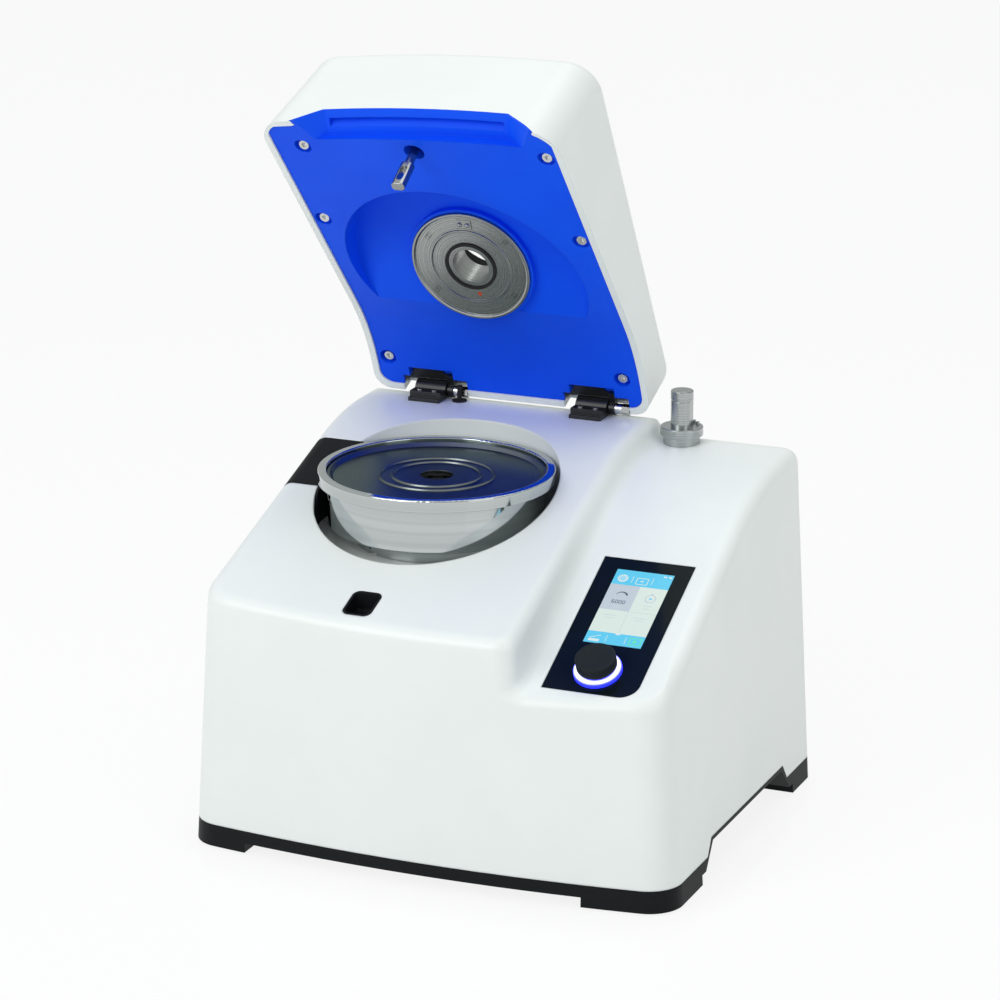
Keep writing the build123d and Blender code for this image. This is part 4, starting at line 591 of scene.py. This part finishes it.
@dataclass
class Flat:
    """Flat shapes drawn in millimetres on one face, a thin layer above each other."""

    place: Matrix
    lift: float = 0.00004
    fewest_steps: int = 8
    step_angle: float = 10.0
    drawn: dict = field(default_factory=dict)

    def polygon(self, ink: Shade, corners: Iterable[Point], layer: int = 1) -> None:
        """Adds a filled outline in millimetres on a layer."""
        points, faces = self.drawn.setdefault(ink, ([], []))
        first = len(points)
        points.extend((x * MM, y * MM, layer * self.lift) for x, y in corners)
        faces.append(tuple(range(first, len(points))))

    def bar(self, ink: Shade, left: float, low: float, right: float, high: float, layer: int = 1) -> None:
        """Adds a rectangle."""
        self.polygon(ink, ((left, low), (right, low), (right, high), (left, high)), layer)

    def stroke(self, ink: Shade, start: Point, end: Point, width: float, layer: int = 2) -> None:
        """Adds a straight line of some width."""
        run = Vector((end[0] - start[0], end[1] - start[1])).normalized() * (width / 2)
        side = (-run.y, run.x)
        self.polygon(ink, (
            (start[0] - side[0], start[1] - side[1]), (end[0] - side[0], end[1] - side[1]),
            (end[0] + side[0], end[1] + side[1]), (start[0] + side[0], start[1] + side[1])), layer)

    def arc(self, ink: Shade, middle: Point, radius: float, widths: Point, angles: Point,
            layer: int = 2) -> None:
        """Adds part of a ring whose width runs from the first to the last of widths."""
        steps = max(self.fewest_steps, int(abs(angles[1] - angles[0]) / self.step_angle))
        for step in range(steps):
            ends = []
            for share in (step / steps, (step + 1) / steps):
                angle = radians(angles[0] + (angles[1] - angles[0]) * share)
                half = (widths[0] + (widths[1] - widths[0]) * share) / 2
                for reach in (radius - half, radius + half):
                    ends.append((reach * cos(angle) + middle[0], reach * sin(angle) + middle[1]))
            self.polygon(ink, (ends[0], ends[2], ends[3], ends[1]), layer)

    def pieces(self, prefix: str, body: str) -> None:
        """Makes one piece for each ink."""
        for ink, (points, faces) in self.drawn.items():
            piece = add_mesh(f"{prefix}_{ink.name.lower()}", points, faces, self.place)
            settle(piece, body, ink.value.material())


@dataclass
class ConsoleFace:
    """The sloping face of the console with glass, display and knob."""

    rise: float = 26.2
    glass_skin: float = 1.8 * MM
    display_shift: float = 1.0 * MM
    display_up: float = 23.25 * MM
    display_width: float = 53.4
    display_height: float = 93.4
    knob_up: float = -56.25 * MM
    bar_top: float = 0.80
    bar_bottom: float = 0.154
    tile_row: float = 0.455
    tile_column: float = 0.52
    hairline: float = 0.5
    line: float = 0.7
    wheel_at: Point = (0.16, 0.885)
    wheel_lift: float = 0.09 * MM
    wheel_rings: Point = (2.5, 1.1)
    petal_count: int = 12
    petal_reach: float = 4.0 * MM
    petal_half: Point = (0.85 * MM, 0.9 * MM)

    def face(self, across: float = 0.0, up: float = 0.0) -> Matrix:
        """The face's own axes with their origin moved across and up from the glass's middle."""
        lowest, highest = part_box("glass_panel")
        slope = radians(self.rise)
        up_way = Vector((0.0, cos(slope), sin(slope)))
        middle = Vector((
            (lowest.x + highest.x) / 2,
            (lowest.y + highest.y - self.glass_skin * sin(slope)) / 2,
            (lowest.z + highest.z + self.glass_skin * cos(slope)) / 2,
        ))
        return frame_at(middle + Vector((across, 0.0, 0.0)) + up_way * up, (1.0, 0.0, 0.0), up_way)

    def knob_axis(self) -> tuple[Vector, Vector]:
        """A point on the knob's axis and the axis."""
        place = self.face(0.0, self.knob_up)
        return place.translation, Vector((place[0][2], place[1][2], place[2][2]))

    def at(self, share_x: float, share_y: float) -> Point:
        """A point of the display in millimetres from its middle, by shares from its lower left."""
        return (share_x - 0.5) * self.display_width, (share_y - 0.5) * self.display_height

    def tiles(self, picture: Flat) -> None:
        """Bars and tiles of the display."""
        left, low = self.at(0.0, 0.0)
        right, high = self.at(1.0, 1.0)
        column, row = self.at(self.tile_column, self.tile_row)
        top, bottom = self.at(0.0, self.bar_top)[1], self.at(0.0, self.bar_bottom)[1]
        picture.bar(Shade.SKY, left, top, right, high)
        picture.bar(Shade.SKY, left, low, right, bottom)
        picture.bar(Shade.GREY, left, row, column, top)
        picture.bar(Shade.PALE, column, row, right, top)
        picture.bar(Shade.PALE, left, bottom, right, row)
        picture.bar(Shade.LINE, column - 0.25, bottom, column + 0.25, row, 2)
        picture.bar(Shade.LINE, column, row - 0.25, right, row + 0.25, 2)
        picture.bar(Shade.CREAM, column - 2.2, bottom - 1.6, column + 2.2, bottom + 0.8, 2)

    def bar_marks(self, picture: Flat) -> None:
        """Dividers, status marks and icons in the two bars."""
        for share in (0.33, 0.68):
            x, y = self.at(share, 0.885)
            picture.stroke(Shade.CREAM, (x, y - 4.2), (x, y + 4.2), self.hairline)
        for share in (0.86, 0.95):
            x, y = self.at(share, 0.965)
            picture.bar(Shade.CREAM, x - 1.4, y - 0.9, x + 1.4, y + 0.9, 2)
        x, y = self.at(0.505, 0.87)
        self.frame_icon(picture, Shade.CREAM, (x, y), (5.2, 3.9))
        picture.stroke(Shade.CREAM, (x - 1.8, y), (x + 1.8, y), 0.6)
        picture.stroke(Shade.CREAM, (x, y - 1.8), (x, y + 1.8), 0.6)
        x, y = self.at(0.16, 0.07)
        picture.bar(Shade.CREAM, x - 5.0, y - 4.4, x + 5.0, y - 1.4, 2)
        picture.stroke(Shade.CREAM, (x - 4.6, y - 0.4), (x + 5.0, y + 3.6), self.line)
        for share in (0.36, 0.69):
            x, y = self.at(share, 0.075)
            picture.stroke(Shade.CREAM, (x, y - 4.0), (x, y + 4.0), self.hairline)
        x, y = self.at(0.86, 0.075)
        self.frame_icon(picture, Shade.GREEN, (x, y), (5.2, 4.2))
        picture.polygon(Shade.GREEN, ((x - 1.7, y - 2.0), (x + 2.1, y), (x - 1.7, y + 2.0)), 3)

    def frame_icon(self, picture: Flat, ink: Shade, middle: Point, half: Point) -> None:
        """A rectangle drawn as an outline."""
        corners = oblong(half, middle)
        for start, end in zip(corners, corners[1:] + corners[:1]):
            picture.stroke(ink, start, end, self.line)

    def tile_marks(self, picture: Flat) -> None:
        """Speed gauge with its figures and the clock in the upper tiles, and lines of text in all."""
        x, y = self.at(0.27, 0.665)
        picture.arc(Shade.DARK, (x, y - 2.0), 5.4, (0.5, 1.8), (160.0, 20.0))
        self.figures(picture, (x, y - 9.0))
        for row, half in ((-14.6, 4.4), (-16.6, 2.6)):
            picture.bar(Shade.LINE, x - half, y + row, x + half, y + row + 0.7, 2)
        x, y = self.at(0.78, 0.655)
        picture.arc(Shade.GREY, (x, y), 4.6, (0.9, 0.9), ALL_ROUND)
        picture.bar(Shade.GREY, x - 1.3, y + 5.2, x + 1.3, y + 6.4, 2)
        picture.polygon(Shade.SKY, ((x - 1.2, y - 1.6), (x + 2.0, y), (x - 1.2, y + 1.6)), 2)
        for row, half in ((-10.0, 4.4), (-13.4, 3.0)):
            picture.bar(Shade.LINE, x - half, y + row, x + half, y + row + 0.8, 2)
        for column in (0.24, 0.76):
            for share, half in ((0.38, 6.0), (0.345, 4.0)):
                x, y = self.at(column, share)
                picture.bar(Shade.LINE, x - half, y, x + half, y + 0.8, 2)

    @staticmethod
    def figures(picture: Flat, middle: Point) -> None:
        """Four figures of a speed, drawn with bars."""
        wide, tall, pitch = 2.0, 3.6, 3.3
        bars = {"top": (0, 1, 1, 1), "mid": (0, 0.5, 1, 0.5), "low": (0, 0, 1, 0),
                "upper_left": (0, 0.5, 0, 1), "lower_left": (0, 0, 0, 0.5),
                "upper_right": (1, 0.5, 1, 1), "lower_right": (1, 0, 1, 0.5)}
        six = ("top", "mid", "low", "upper_left", "lower_left", "lower_right")
        none = ("top", "low", "upper_left", "lower_left", "upper_right", "lower_right")
        left = middle[0] - 1.5 * pitch - wide / 2
        for place, lit in enumerate((six, none, none, none)):
            for key in lit:
                x0, y0, x1, y1 = bars[key]
                x = left + place * pitch
                start = (x + x0 * wide, middle[1] - tall / 2 + y0 * tall)
                end = (x + x1 * wide, middle[1] - tall / 2 + y1 * tall)
                picture.stroke(Shade.DARK, start, end, 0.55, 3)

    def wheel_icon(self) -> None:
        """The icon of rings and petals at the upper left."""
        x, y = self.at(*self.wheel_at)
        lifted = Matrix.Translation((x * MM, y * MM, self.wheel_lift))
        place = self.face(self.display_shift, self.display_up) @ lifted
        cream = Shade.CREAM.value.material()
        petal = add_sheet("wheel_petal", self.petal_half)
        petals = RoundRepeat("wheel_petals", self.petal_count, self.petal_reach, cream).made(petal, place)
        settle(petals, "housing")
        flat = Flat(place)
        for radius in self.wheel_rings:
            flat.arc(Shade.CREAM, (0.0, 0.0), radius, (0.6, 0.6), ALL_ROUND, 0)
        flat.pieces("wheel", "housing")

    def build(self) -> None:
        """Draws the lit display."""
        picture = Flat(self.face(self.display_shift, self.display_up))
        self.tiles(picture)
        self.bar_marks(picture)
        self.tile_marks(picture)
        picture.pieces("display", "housing")
        self.wheel_icon()


@dataclass
class LidFace:
    """Places on the lid, given as on the shut lid and turned to its open rest."""

    hinge_y: float = 0.16695
    hinge_z: float = 0.345
    opened: float = 68.0
    flange_x: float = -0.068
    flange_y: float = -0.00005
    flange_z: float = 0.3167
    flange_dish: float = 0.0018
    mark_radius: float = 0.0475
    mark_half: float = 0.0021
    mark_hollow: float = 0.78
    mark_gap: float = 0.00006
    mark_angles: tuple[float, ...] = (38.0, 142.0, 218.0, 322.0)
    dot_radius: float = 0.0021
    dot_reach: float = 0.0305
    dot_angle: float = 82.0
    dot_gap: float = 0.0001
    dot_sides: int = 24

    def turned(self) -> Matrix:
        """The turn from the shut lid to the open one."""
        hinge = Vector((0.0, self.hinge_y, self.hinge_z))
        turn = Matrix.Rotation(radians(-self.opened), 4, "X")
        return Matrix.Translation(hinge) @ turn @ Matrix.Translation(-hinge)

    def centre(self) -> Vector:
        """The flange's middle on the open lid."""
        return self.turned() @ Vector((self.flange_x, self.flange_y, self.flange_z))

    def axis(self) -> Vector:
        """The flange's axis on the open lid."""
        return (self.turned().to_3x3() @ Vector((0.0, 0.0, 1.0))).normalized()

    def build(self, dark: bpy.types.Material, red: bpy.types.Material) -> None:
        """Marks and the sensor dot on the flange.

        Args:
            dark: finish of the four marks.
            red: finish of the dot.
        """
        points, faces = [], []
        centre = Vector((self.flange_x, self.flange_y, self.flange_z - self.mark_gap))
        for angle in self.mark_angles:
            out = Vector((cos(radians(angle)), sin(radians(angle)), 0.0))
            side = Vector((-out.y, out.x, 0.0))
            middle = centre + out * self.mark_radius
            first = len(points)
            for size in (1.0, self.mark_hollow):
                for a, b in CORNERS:
                    points.append(middle + (out * a + side * b) * self.mark_half * size)
            for k in range(4):
                faces.append((first + k, first + (k + 1) % 4, first + 4 + (k + 1) % 4, first + 4 + k))
        marks = add_mesh("flange_marks", points, faces, self.turned())
        settle(marks, "lid", dark)
        angle = radians(self.dot_angle)
        x, y = self.flange_x + self.dot_reach * cos(angle), self.flange_y + self.dot_reach * sin(angle)
        height = self.flange_z + self.flange_dish - self.dot_gap
        rim = [(x + dx, y + dy, height) for dx, dy in ring(self.dot_radius, self.dot_sides)]
        dot = add_mesh("flange_dot", rim, [tuple(range(self.dot_sides))], self.turned())
        settle(dot, "lid", red)


@dataclass
class BearingBalls:
    """The balls that run in the two shaft bearings."""

    count: int = 9
    ball: float = 3.4 * MM
    width: float = 12.0 * MM
    reach: float = 18.9 * MM
    x: float = -0.068
    y: float = -0.00005

    def build(self, finish: bpy.types.Material) -> None:
        """Adds one ring of balls for each bearing."""
        lowest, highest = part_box("bearings")
        half = self.width / 2
        for name, height in (("lower_balls", lowest.z + half), ("upper_balls", highest.z - half)):
            made = bmesh.new()
            bmesh.ops.create_icosphere(made, subdivisions=2, radius=self.ball)
            mesh = bpy.data.meshes.new(name + "_ball")
            made.to_mesh(mesh)
            made.free()
            ball = add_object(name + "_ball", mesh)
            place = Matrix.Translation((self.x, self.y, height))
            balls = RoundRepeat(name, self.count, self.reach, finish).made(ball, place)
            settle(balls, "spindle")


@dataclass
class RearFittings:
    """Screw heads of the rear panel and the two marks of the switch."""

    margin: float = 6.0 * MM
    head: float = 2.9 * MM
    height: float = 1.3 * MM
    sides: int = 20
    across: int = 4
    profile: tuple[Point, ...] = (
        (1.0, 0.0), (0.97, 0.45), (0.8, 0.85), (0.52, 1.0), (0.4, 1.0), (0.38, 0.25), (0.05, 0.2))
    switch_x: float = 0.060
    switch_z: float = 0.084
    switch_tilt: float = -7.0
    pivot_inset: float = 2.0 * MM
    rocker_rise: float = 4.03 * MM
    mark_lift: float = 0.05 * MM
    mark_rise: float = 5.5
    stroke_half: Point = (0.4, 1.7)
    ring_radii: Point = (1.3, 2.0)
    ring_sides: int = 24

    def screws(self, finish: bpy.types.Material) -> None:
        """Low domed heads along the top and bottom of the panel."""
        lowest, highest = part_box("rear_panel")
        points, faces = [], []
        for row in (lowest.z + self.margin, highest.z - self.margin):
            for place in range(self.across):
                share = place / (self.across - 1)
                x = lowest.x + self.margin + (highest.x - lowest.x - 2 * self.margin) * share
                self.head_at(points, faces, (x, highest.y, row))
        settle(add_mesh("rear_screws", points, faces), "housing", finish)

    def head_at(self, points: list, faces: list, middle: Sequence[float]) -> None:
        """Adds one domed head with a round recess to a mesh.

        Args:
            points: the mesh's corners so far.
            faces: the mesh's faces so far.
            middle: middle of the head's foot.
        """
        first = len(points)
        for radius, rise in self.profile:
            for x, z in ring(self.head * radius, self.sides):
                points.append((middle[0] + x, middle[1] + self.height * rise, middle[2] + z))
        for level in range(len(self.profile) - 1):
            start = first + level * self.sides
            for side in range(self.sides):
                a, b = start + side, start + (side + 1) % self.sides
                faces.append((a, b, b + self.sides, a + self.sides))
        last = first + (len(self.profile) - 1) * self.sides
        faces.append(tuple(range(last, last + self.sides)))
        faces.append(tuple(range(first + self.sides - 1, first - 1, -1)))

    def switch_marks(self, finish: bpy.types.Material) -> None:
        """The upright stroke and the ring on the rocker."""
        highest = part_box("rear_panel")[1]
        pivot = Vector((0.0, highest.y - self.pivot_inset, self.switch_z))
        turn = Matrix.Rotation(radians(self.switch_tilt), 4, "X")
        place = Matrix.Translation(pivot) @ turn @ Matrix.Translation(-pivot)
        y = highest.y - self.pivot_inset + self.rocker_rise + self.mark_lift
        flat = oblong(self.stroke_half, (0.0, self.mark_rise))
        faces = [(0, 1, 2, 3)]
        for pair in zip(*(ring(radius, self.ring_sides) for radius in self.ring_radii)):
            flat.extend((x, z - self.mark_rise) for x, z in pair)
        for side in range(self.ring_sides):
            a, b = 4 + side * 2, 4 + (side + 1) % self.ring_sides * 2
            faces.append((a, b, b + 1, a + 1))
        points = [(self.switch_x + x * MM, y, self.switch_z + z * MM) for x, z in flat]
        settle(add_mesh("switch_marks", points, faces, place), "switch", finish)


@dataclass
class Finishes:
    """All finishes of the mill, and the nodes that wear them."""

    console: ConsoleFace
    lid: LidFace
    pan_axis: Place = (-0.068, -0.00005, 0.0)
    tool_axis: Place = (0.107, 0.16595, 0.0)
    made: dict = field(default_factory=dict)

    def mouldings(self) -> list[Moulding]:
        """Plastics, rubbers and paints."""
        white, faint = (0.845, 0.880, 0.868), (0.820, 0.860, 0.845)
        return [
            Moulding("shell_white", white, faint, 0.34, softness=0.0025, gloss=0.45),
            Moulding("lid_white", white, faint, 0.36, softness=0.0008, gloss=0.45),
            Moulding("inner_white", white, faint, 0.5),
            Moulding("panel_blue", (0.003, 0.095, 0.95), (0.003, 0.080, 0.88), 0.5,
                     grain=0.0009, grain_depth=0.00003, softness=0.0012, gloss=0.12),
            Moulding("base_charcoal", (0.008, 0.010, 0.011), (0.006, 0.007, 0.008), 0.5,
                     grain=0.0008, grain_depth=0.00004, softness=0.001, gloss=0.12),
            Moulding("black_plastic", (0.007, 0.009, 0.010), (0.005, 0.006, 0.007), 0.5,
                     grain=0.0007, grain_depth=0.00005, softness=0.0008, gloss=0.12),
            Moulding("knob_black", (0.012, 0.018, 0.021), (0.009, 0.013, 0.016), 0.55,
                     grain=0.0005, grain_depth=0.00003, softness=0.0006, gloss=0.15),
            Moulding("hinge_paint", (0.010, 0.011, 0.012), (0.006, 0.007, 0.008), 0.36,
                     grain=0.0006, grain_depth=0.00005, softness=0.0005),
            Moulding("rubber", (0.014, 0.014, 0.015), (0.008, 0.008, 0.009), 0.72,
                     grain=0.0005, grain_depth=0.00006, gloss=0.35),
            Moulding("glass_black", (0.006, 0.010, 0.012), (0.004, 0.007, 0.009), 0.12,
                     roughness_spread=0.03, grain=0.004, grain_depth=0.000002, softness=0.0004, gloss=0.14),
            Moulding("display_pane", (0.10, 0.12, 0.13), (0.08, 0.10, 0.11), 0.15,
                     grain=0.0005, grain_depth=0.000003),
            Moulding("board_green", (0.012, 0.16, 0.05), (0.03, 0.22, 0.09), 0.4, cloud=0.006),
            Moulding("dot_red", (0.55, 0.06, 0.02), (0.42, 0.04, 0.015), 0.4, cloud=0.001),
            Moulding("mark_dark", (0.10, 0.11, 0.11), (0.05, 0.06, 0.06), 0.5, cloud=0.001),
        ]

    def metals(self) -> list[TurnedSteel | PlainMetal | Banded]:
        """Steels, aluminium and windings."""
        pan, flange, axis = self.pan_axis, tuple(self.lid.centre()), tuple(self.lid.axis())
        return [
            TurnedSteel("pan_steel", (0.52, 0.55, 0.55), (0.44, 0.47, 0.47), 0.07, pan,
                        ring=0.006, ring_depth=0.000001, softness=0.0008, ripple=0.03),
            TurnedSteel("cover_steel", (0.230, 0.255, 0.250), (0.190, 0.215, 0.210), 0.3, pan, ring=0.0012,
                        ring_depth=0.000004, softness=0.0006, ripple=0.05, edge=(0.42, 0.47, 0.45)),
            TurnedSteel("rotor_steel", (0.30, 0.31, 0.31), (0.18, 0.19, 0.19), 0.24, pan),
            TurnedSteel("shaft_steel", (0.62, 0.64, 0.64), (0.44, 0.46, 0.46), 0.18, pan),
            TurnedSteel("flange_steel", (0.44, 0.45, 0.44), (0.24, 0.26, 0.25), 0.28, flange, axis,
                        ring=0.0010, ring_depth=0.00004, softness=0.0004),
            TurnedSteel("tool_steel", (0.50, 0.52, 0.52), (0.32, 0.34, 0.34), 0.24, self.tool_axis,
                        ring=0.0006, ring_depth=0.00002, softness=0.0004),
            PlainMetal("screw_steel", (0.62, 0.63, 0.62), (0.50, 0.51, 0.50), 0.26),
            PlainMetal("bolt_steel", (0.36, 0.37, 0.37), (0.24, 0.25, 0.25), 0.2, softness=0.0006),
            PlainMetal("sleeve_steel", (0.72, 0.74, 0.74), (0.60, 0.62, 0.62), 0.12),
            PlainMetal("zinc_sheet", (0.50, 0.52, 0.53), (0.40, 0.42, 0.44), 0.36, grain=0.0015),
            PlainMetal("cast_aluminium", (0.58, 0.59, 0.60), (0.50, 0.51, 0.52), 0.46,
                       run=(1.0, 1.0, 1.0), grain=0.0012, grain_depth=0.00008),
            Banded("laminations", (0.20, 0.20, 0.21), (0.10, 0.10, 0.11), 0.0012, 0.42),
            Banded("windings", (0.60, 0.24, 0.09), (0.36, 0.12, 0.04), 0.0011, 0.32),
        ]

    def worn(self) -> dict[str, str]:
        """The finish that each group of CAD nodes wears."""
        return {
            "shell_white": "housing_shell",
            "lid_white": "lid_shell",
            "panel_blue": "lid_panel",
            "base_charcoal": "base_tray",
            "black_plastic": "feed_funnel outlet_cover lock_funnel lock_body drive_unit encoder_body"
                             " encoder_plunger switch_frame power_switch fuse_holders power_inlet"
                             " cooling_fan display_module",
            "knob_black": "control_knob",
            "hinge_paint": "hinge_blocks hinge_leaves",
            "rubber": "rubber_feet motor_mounts well_seal bore_seal lid_stop",
            "glass_black": "glass_panel",
            "display_pane": "display_screen",
            "board_green": "control_board",
            "knob_glow": "knob_light_ring",
            "pan_steel": "pan_bowl",
            "cover_steel": "pan_cover",
            "rotor_steel": "grinding_rotor ring_sieve labyrinth_disc",
            "shaft_steel": "motor_shaft bearings encoder_spindle",
            "flange_steel": "lid_flange flange_clip",
            "tool_steel": "lifting_tool tool_pins tool_seat",
            "screw_steel": "hinge_pins hinge_nuts hinge_screws panel_screws lock_hook",
            "bolt_steel": "eye_bolt eye_nut",
            "sleeve_steel": "hinge_sleeves",
            "zinc_sheet": "chassis_plate mains_filter rear_panel",
            "cast_aluminium": "lower_end_shield upper_end_shield motor_frame heat_sink",
            "laminations": "stator_core armature",
            "windings": "stator_windings",
        }

    def build(self) -> None:
        """Makes the finishes and gives each CAD node its own."""
        middle, axis = self.console.knob_axis()
        glow = Glow("knob_glow", tuple(middle), tuple(axis), inner=0.0150, outer=0.0215)
        for recipe in (*self.mouldings(), *self.metals(), glow):
            self.made[recipe.name] = recipe.material()
        for name, nodes in self.worn().items():
            for node in nodes.split():
                self.dress(node, self.made[name])

    @staticmethod
    def dress(node: str, material: bpy.types.Material) -> None:
        """Puts a material on every slot of a CAD node."""
        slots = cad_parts[node].material_slots
        if not slots:
            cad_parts[node].data.materials.append(material)
        for slot in slots:
            slot.material = material
        LOG.info("node %s wears %s", node, material.name)


@dataclass(frozen=True)
class Lamp:
    """A soft box that faces the mill, with its size in metres and its power in watts."""

    name: str
    place: Place
    size: Point
    power: float
    aim: Place = (0.0, 0.0, 0.3)

    def build(self) -> None:
        """Adds the soft box to the scene."""
        data = bpy.data.lights.new(self.name, "AREA")
        data.shape = "RECTANGLE"
        data.size, data.size_y = self.size
        data.energy = self.power
        thing = add_object(self.name, data)
        thing.location = self.place
        thing.rotation_euler = (Vector(self.aim) - Vector(self.place)).to_track_quat("-Z", "Y").to_euler()


@dataclass
class Studio:
    """Floor, lights, white surroundings and the camera."""

    eye: Place = (1.3256, -3.18775, 1.3297)
    right: Place = (0.92282, 0.38522, 0.00022)
    up: Place = (-0.11056, 0.26429, 0.95808)
    lens: float = 144.0
    sensor: float = 36.0
    shift: float = -0.0011
    floor_half: float = 30.0
    floor_colour: Colour = (0.90, 0.91, 0.91)
    floor_grain: float = 0.3
    floor_spread: float = 0.02
    floor_roughness: float = 0.16
    floor_gloss: float = 0.35
    floor_white: float = 0.86
    sky_colour: Colour = (0.97, 1.0, 0.99)
    sky_low: float = 0.51
    sky_high: float = 0.74
    lamps: tuple[Lamp, ...] = (
        Lamp("key", (-1.3, -2.6, 2.0), (1.8, 1.8), 38.0),
        Lamp("top", (0.2, 0.3, 3.0), (2.2, 1.6), 15.0),
        Lamp("fill", (2.6, -1.2, 1.3), (1.4, 1.8), 10.0),
    )

    def camera(self) -> None:
        """Sets the camera at the photo's angle."""
        data = bpy.data.cameras.new("view")
        data.lens = self.lens
        data.sensor_width = self.sensor
        data.sensor_fit = "HORIZONTAL"
        data.shift_x = self.shift
        data.clip_end = 100.0
        thing = add_object("view", data)
        thing.matrix_world = frame_at(self.eye, self.right, self.up)
        bpy.context.scene.camera = thing

    def floor(self) -> None:
        """A wide pale floor that stays white for the camera and keeps its shadow."""
        plane = add_sheet("floor", (self.floor_half, self.floor_half))
        graph = Graph("floor_pale")
        grain = graph.noise(graph.place(), self.floor_grain)
        shader = graph.signal("ShaderNodeBsdfPrincipled", None, {
            "Base Color": graph.blend(grain, self.floor_colour, dimmed(self.floor_colour, 0.99)),
            "Roughness": grain.swing(self.floor_spread) + self.floor_roughness,
            "Specular IOR Level": self.floor_gloss,
        })
        white = graph.signal("ShaderNodeEmission", None, {"Color": (1.0, 1.0, 1.0), "Strength": 1.0})
        rays = graph.node("ShaderNodeLightPath").outputs
        camera, glossy = Signal(graph, rays["Is Camera Ray"]), Signal(graph, rays["Is Glossy Ray"])
        seen = camera.math("MAXIMUM", camera, glossy)
        mix = graph.node("ShaderNodeMixShader", None, {0: seen * self.floor_white, 1: shader, 2: white})
        output = graph.node("ShaderNodeOutputMaterial")
        graph.tree.links.new(mix.outputs[0], output.inputs["Surface"])
        plane.data.materials.append(graph.material)

    def surroundings(self) -> None:
        """White for the camera, and a soft dome of light for the mill."""
        world = bpy.data.worlds.new("studio")
        world.use_nodes = True
        bpy.context.scene.world = world
        nodes, link = world.node_tree.nodes, world.node_tree.links.new
        nodes.clear()
        rays = nodes.new("ShaderNodeLightPath")
        white = nodes.new("ShaderNodeBackground")
        white.inputs["Color"].default_value = (1.0, 1.0, 1.0, 1.0)
        dome = nodes.new("ShaderNodeBackground")
        dome.inputs["Color"].default_value = (*self.sky_colour, 1.0)
        parts = nodes.new("ShaderNodeSeparateXYZ")
        rise = nodes.new("ShaderNodeMapRange")
        rise.inputs["To Min"].default_value = self.sky_low
        rise.inputs["To Max"].default_value = self.sky_high
        link(nodes.new("ShaderNodeTexCoord").outputs["Generated"], parts.inputs[0])
        link(parts.outputs["Z"], rise.inputs["Value"])
        link(rise.outputs["Result"], dome.inputs["Strength"])
        mix = nodes.new("ShaderNodeMixShader")
        output = nodes.new("ShaderNodeOutputWorld")
        link(rays.outputs["Is Camera Ray"], mix.inputs[0])
        link(dome.outputs[0], mix.inputs[1])
        link(white.outputs[0], mix.inputs[2])
        link(mix.outputs[0], output.inputs["Surface"])

    def build(self) -> None:
        """Sets up the whole studio."""
        bpy.context.scene.view_settings.view_transform = "Standard"
        self.camera()
        self.floor()
        self.surroundings()
        for lamp in self.lamps:
            lamp.build()
        LOG.info("studio ready")


def main() -> None:
    """Builds the mill's looks in order."""
    logging.basicConfig(level=logging.INFO, format="%(name)s: %(message)s")
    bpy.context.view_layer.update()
    console, lid = ConsoleFace(), LidFace()
    finishes = Finishes(console, lid)
    finishes.build()
    console.build()
    lid.build(finishes.made["mark_dark"], finishes.made["dot_red"])
    BearingBalls().build(finishes.made["shaft_steel"])
    rear = RearFittings()
    rear.screws(finishes.made["screw_steel"])
    rear.switch_marks(finishes.made["inner_white"])
    Studio().build()


if __name__ == "__main__":
    main()
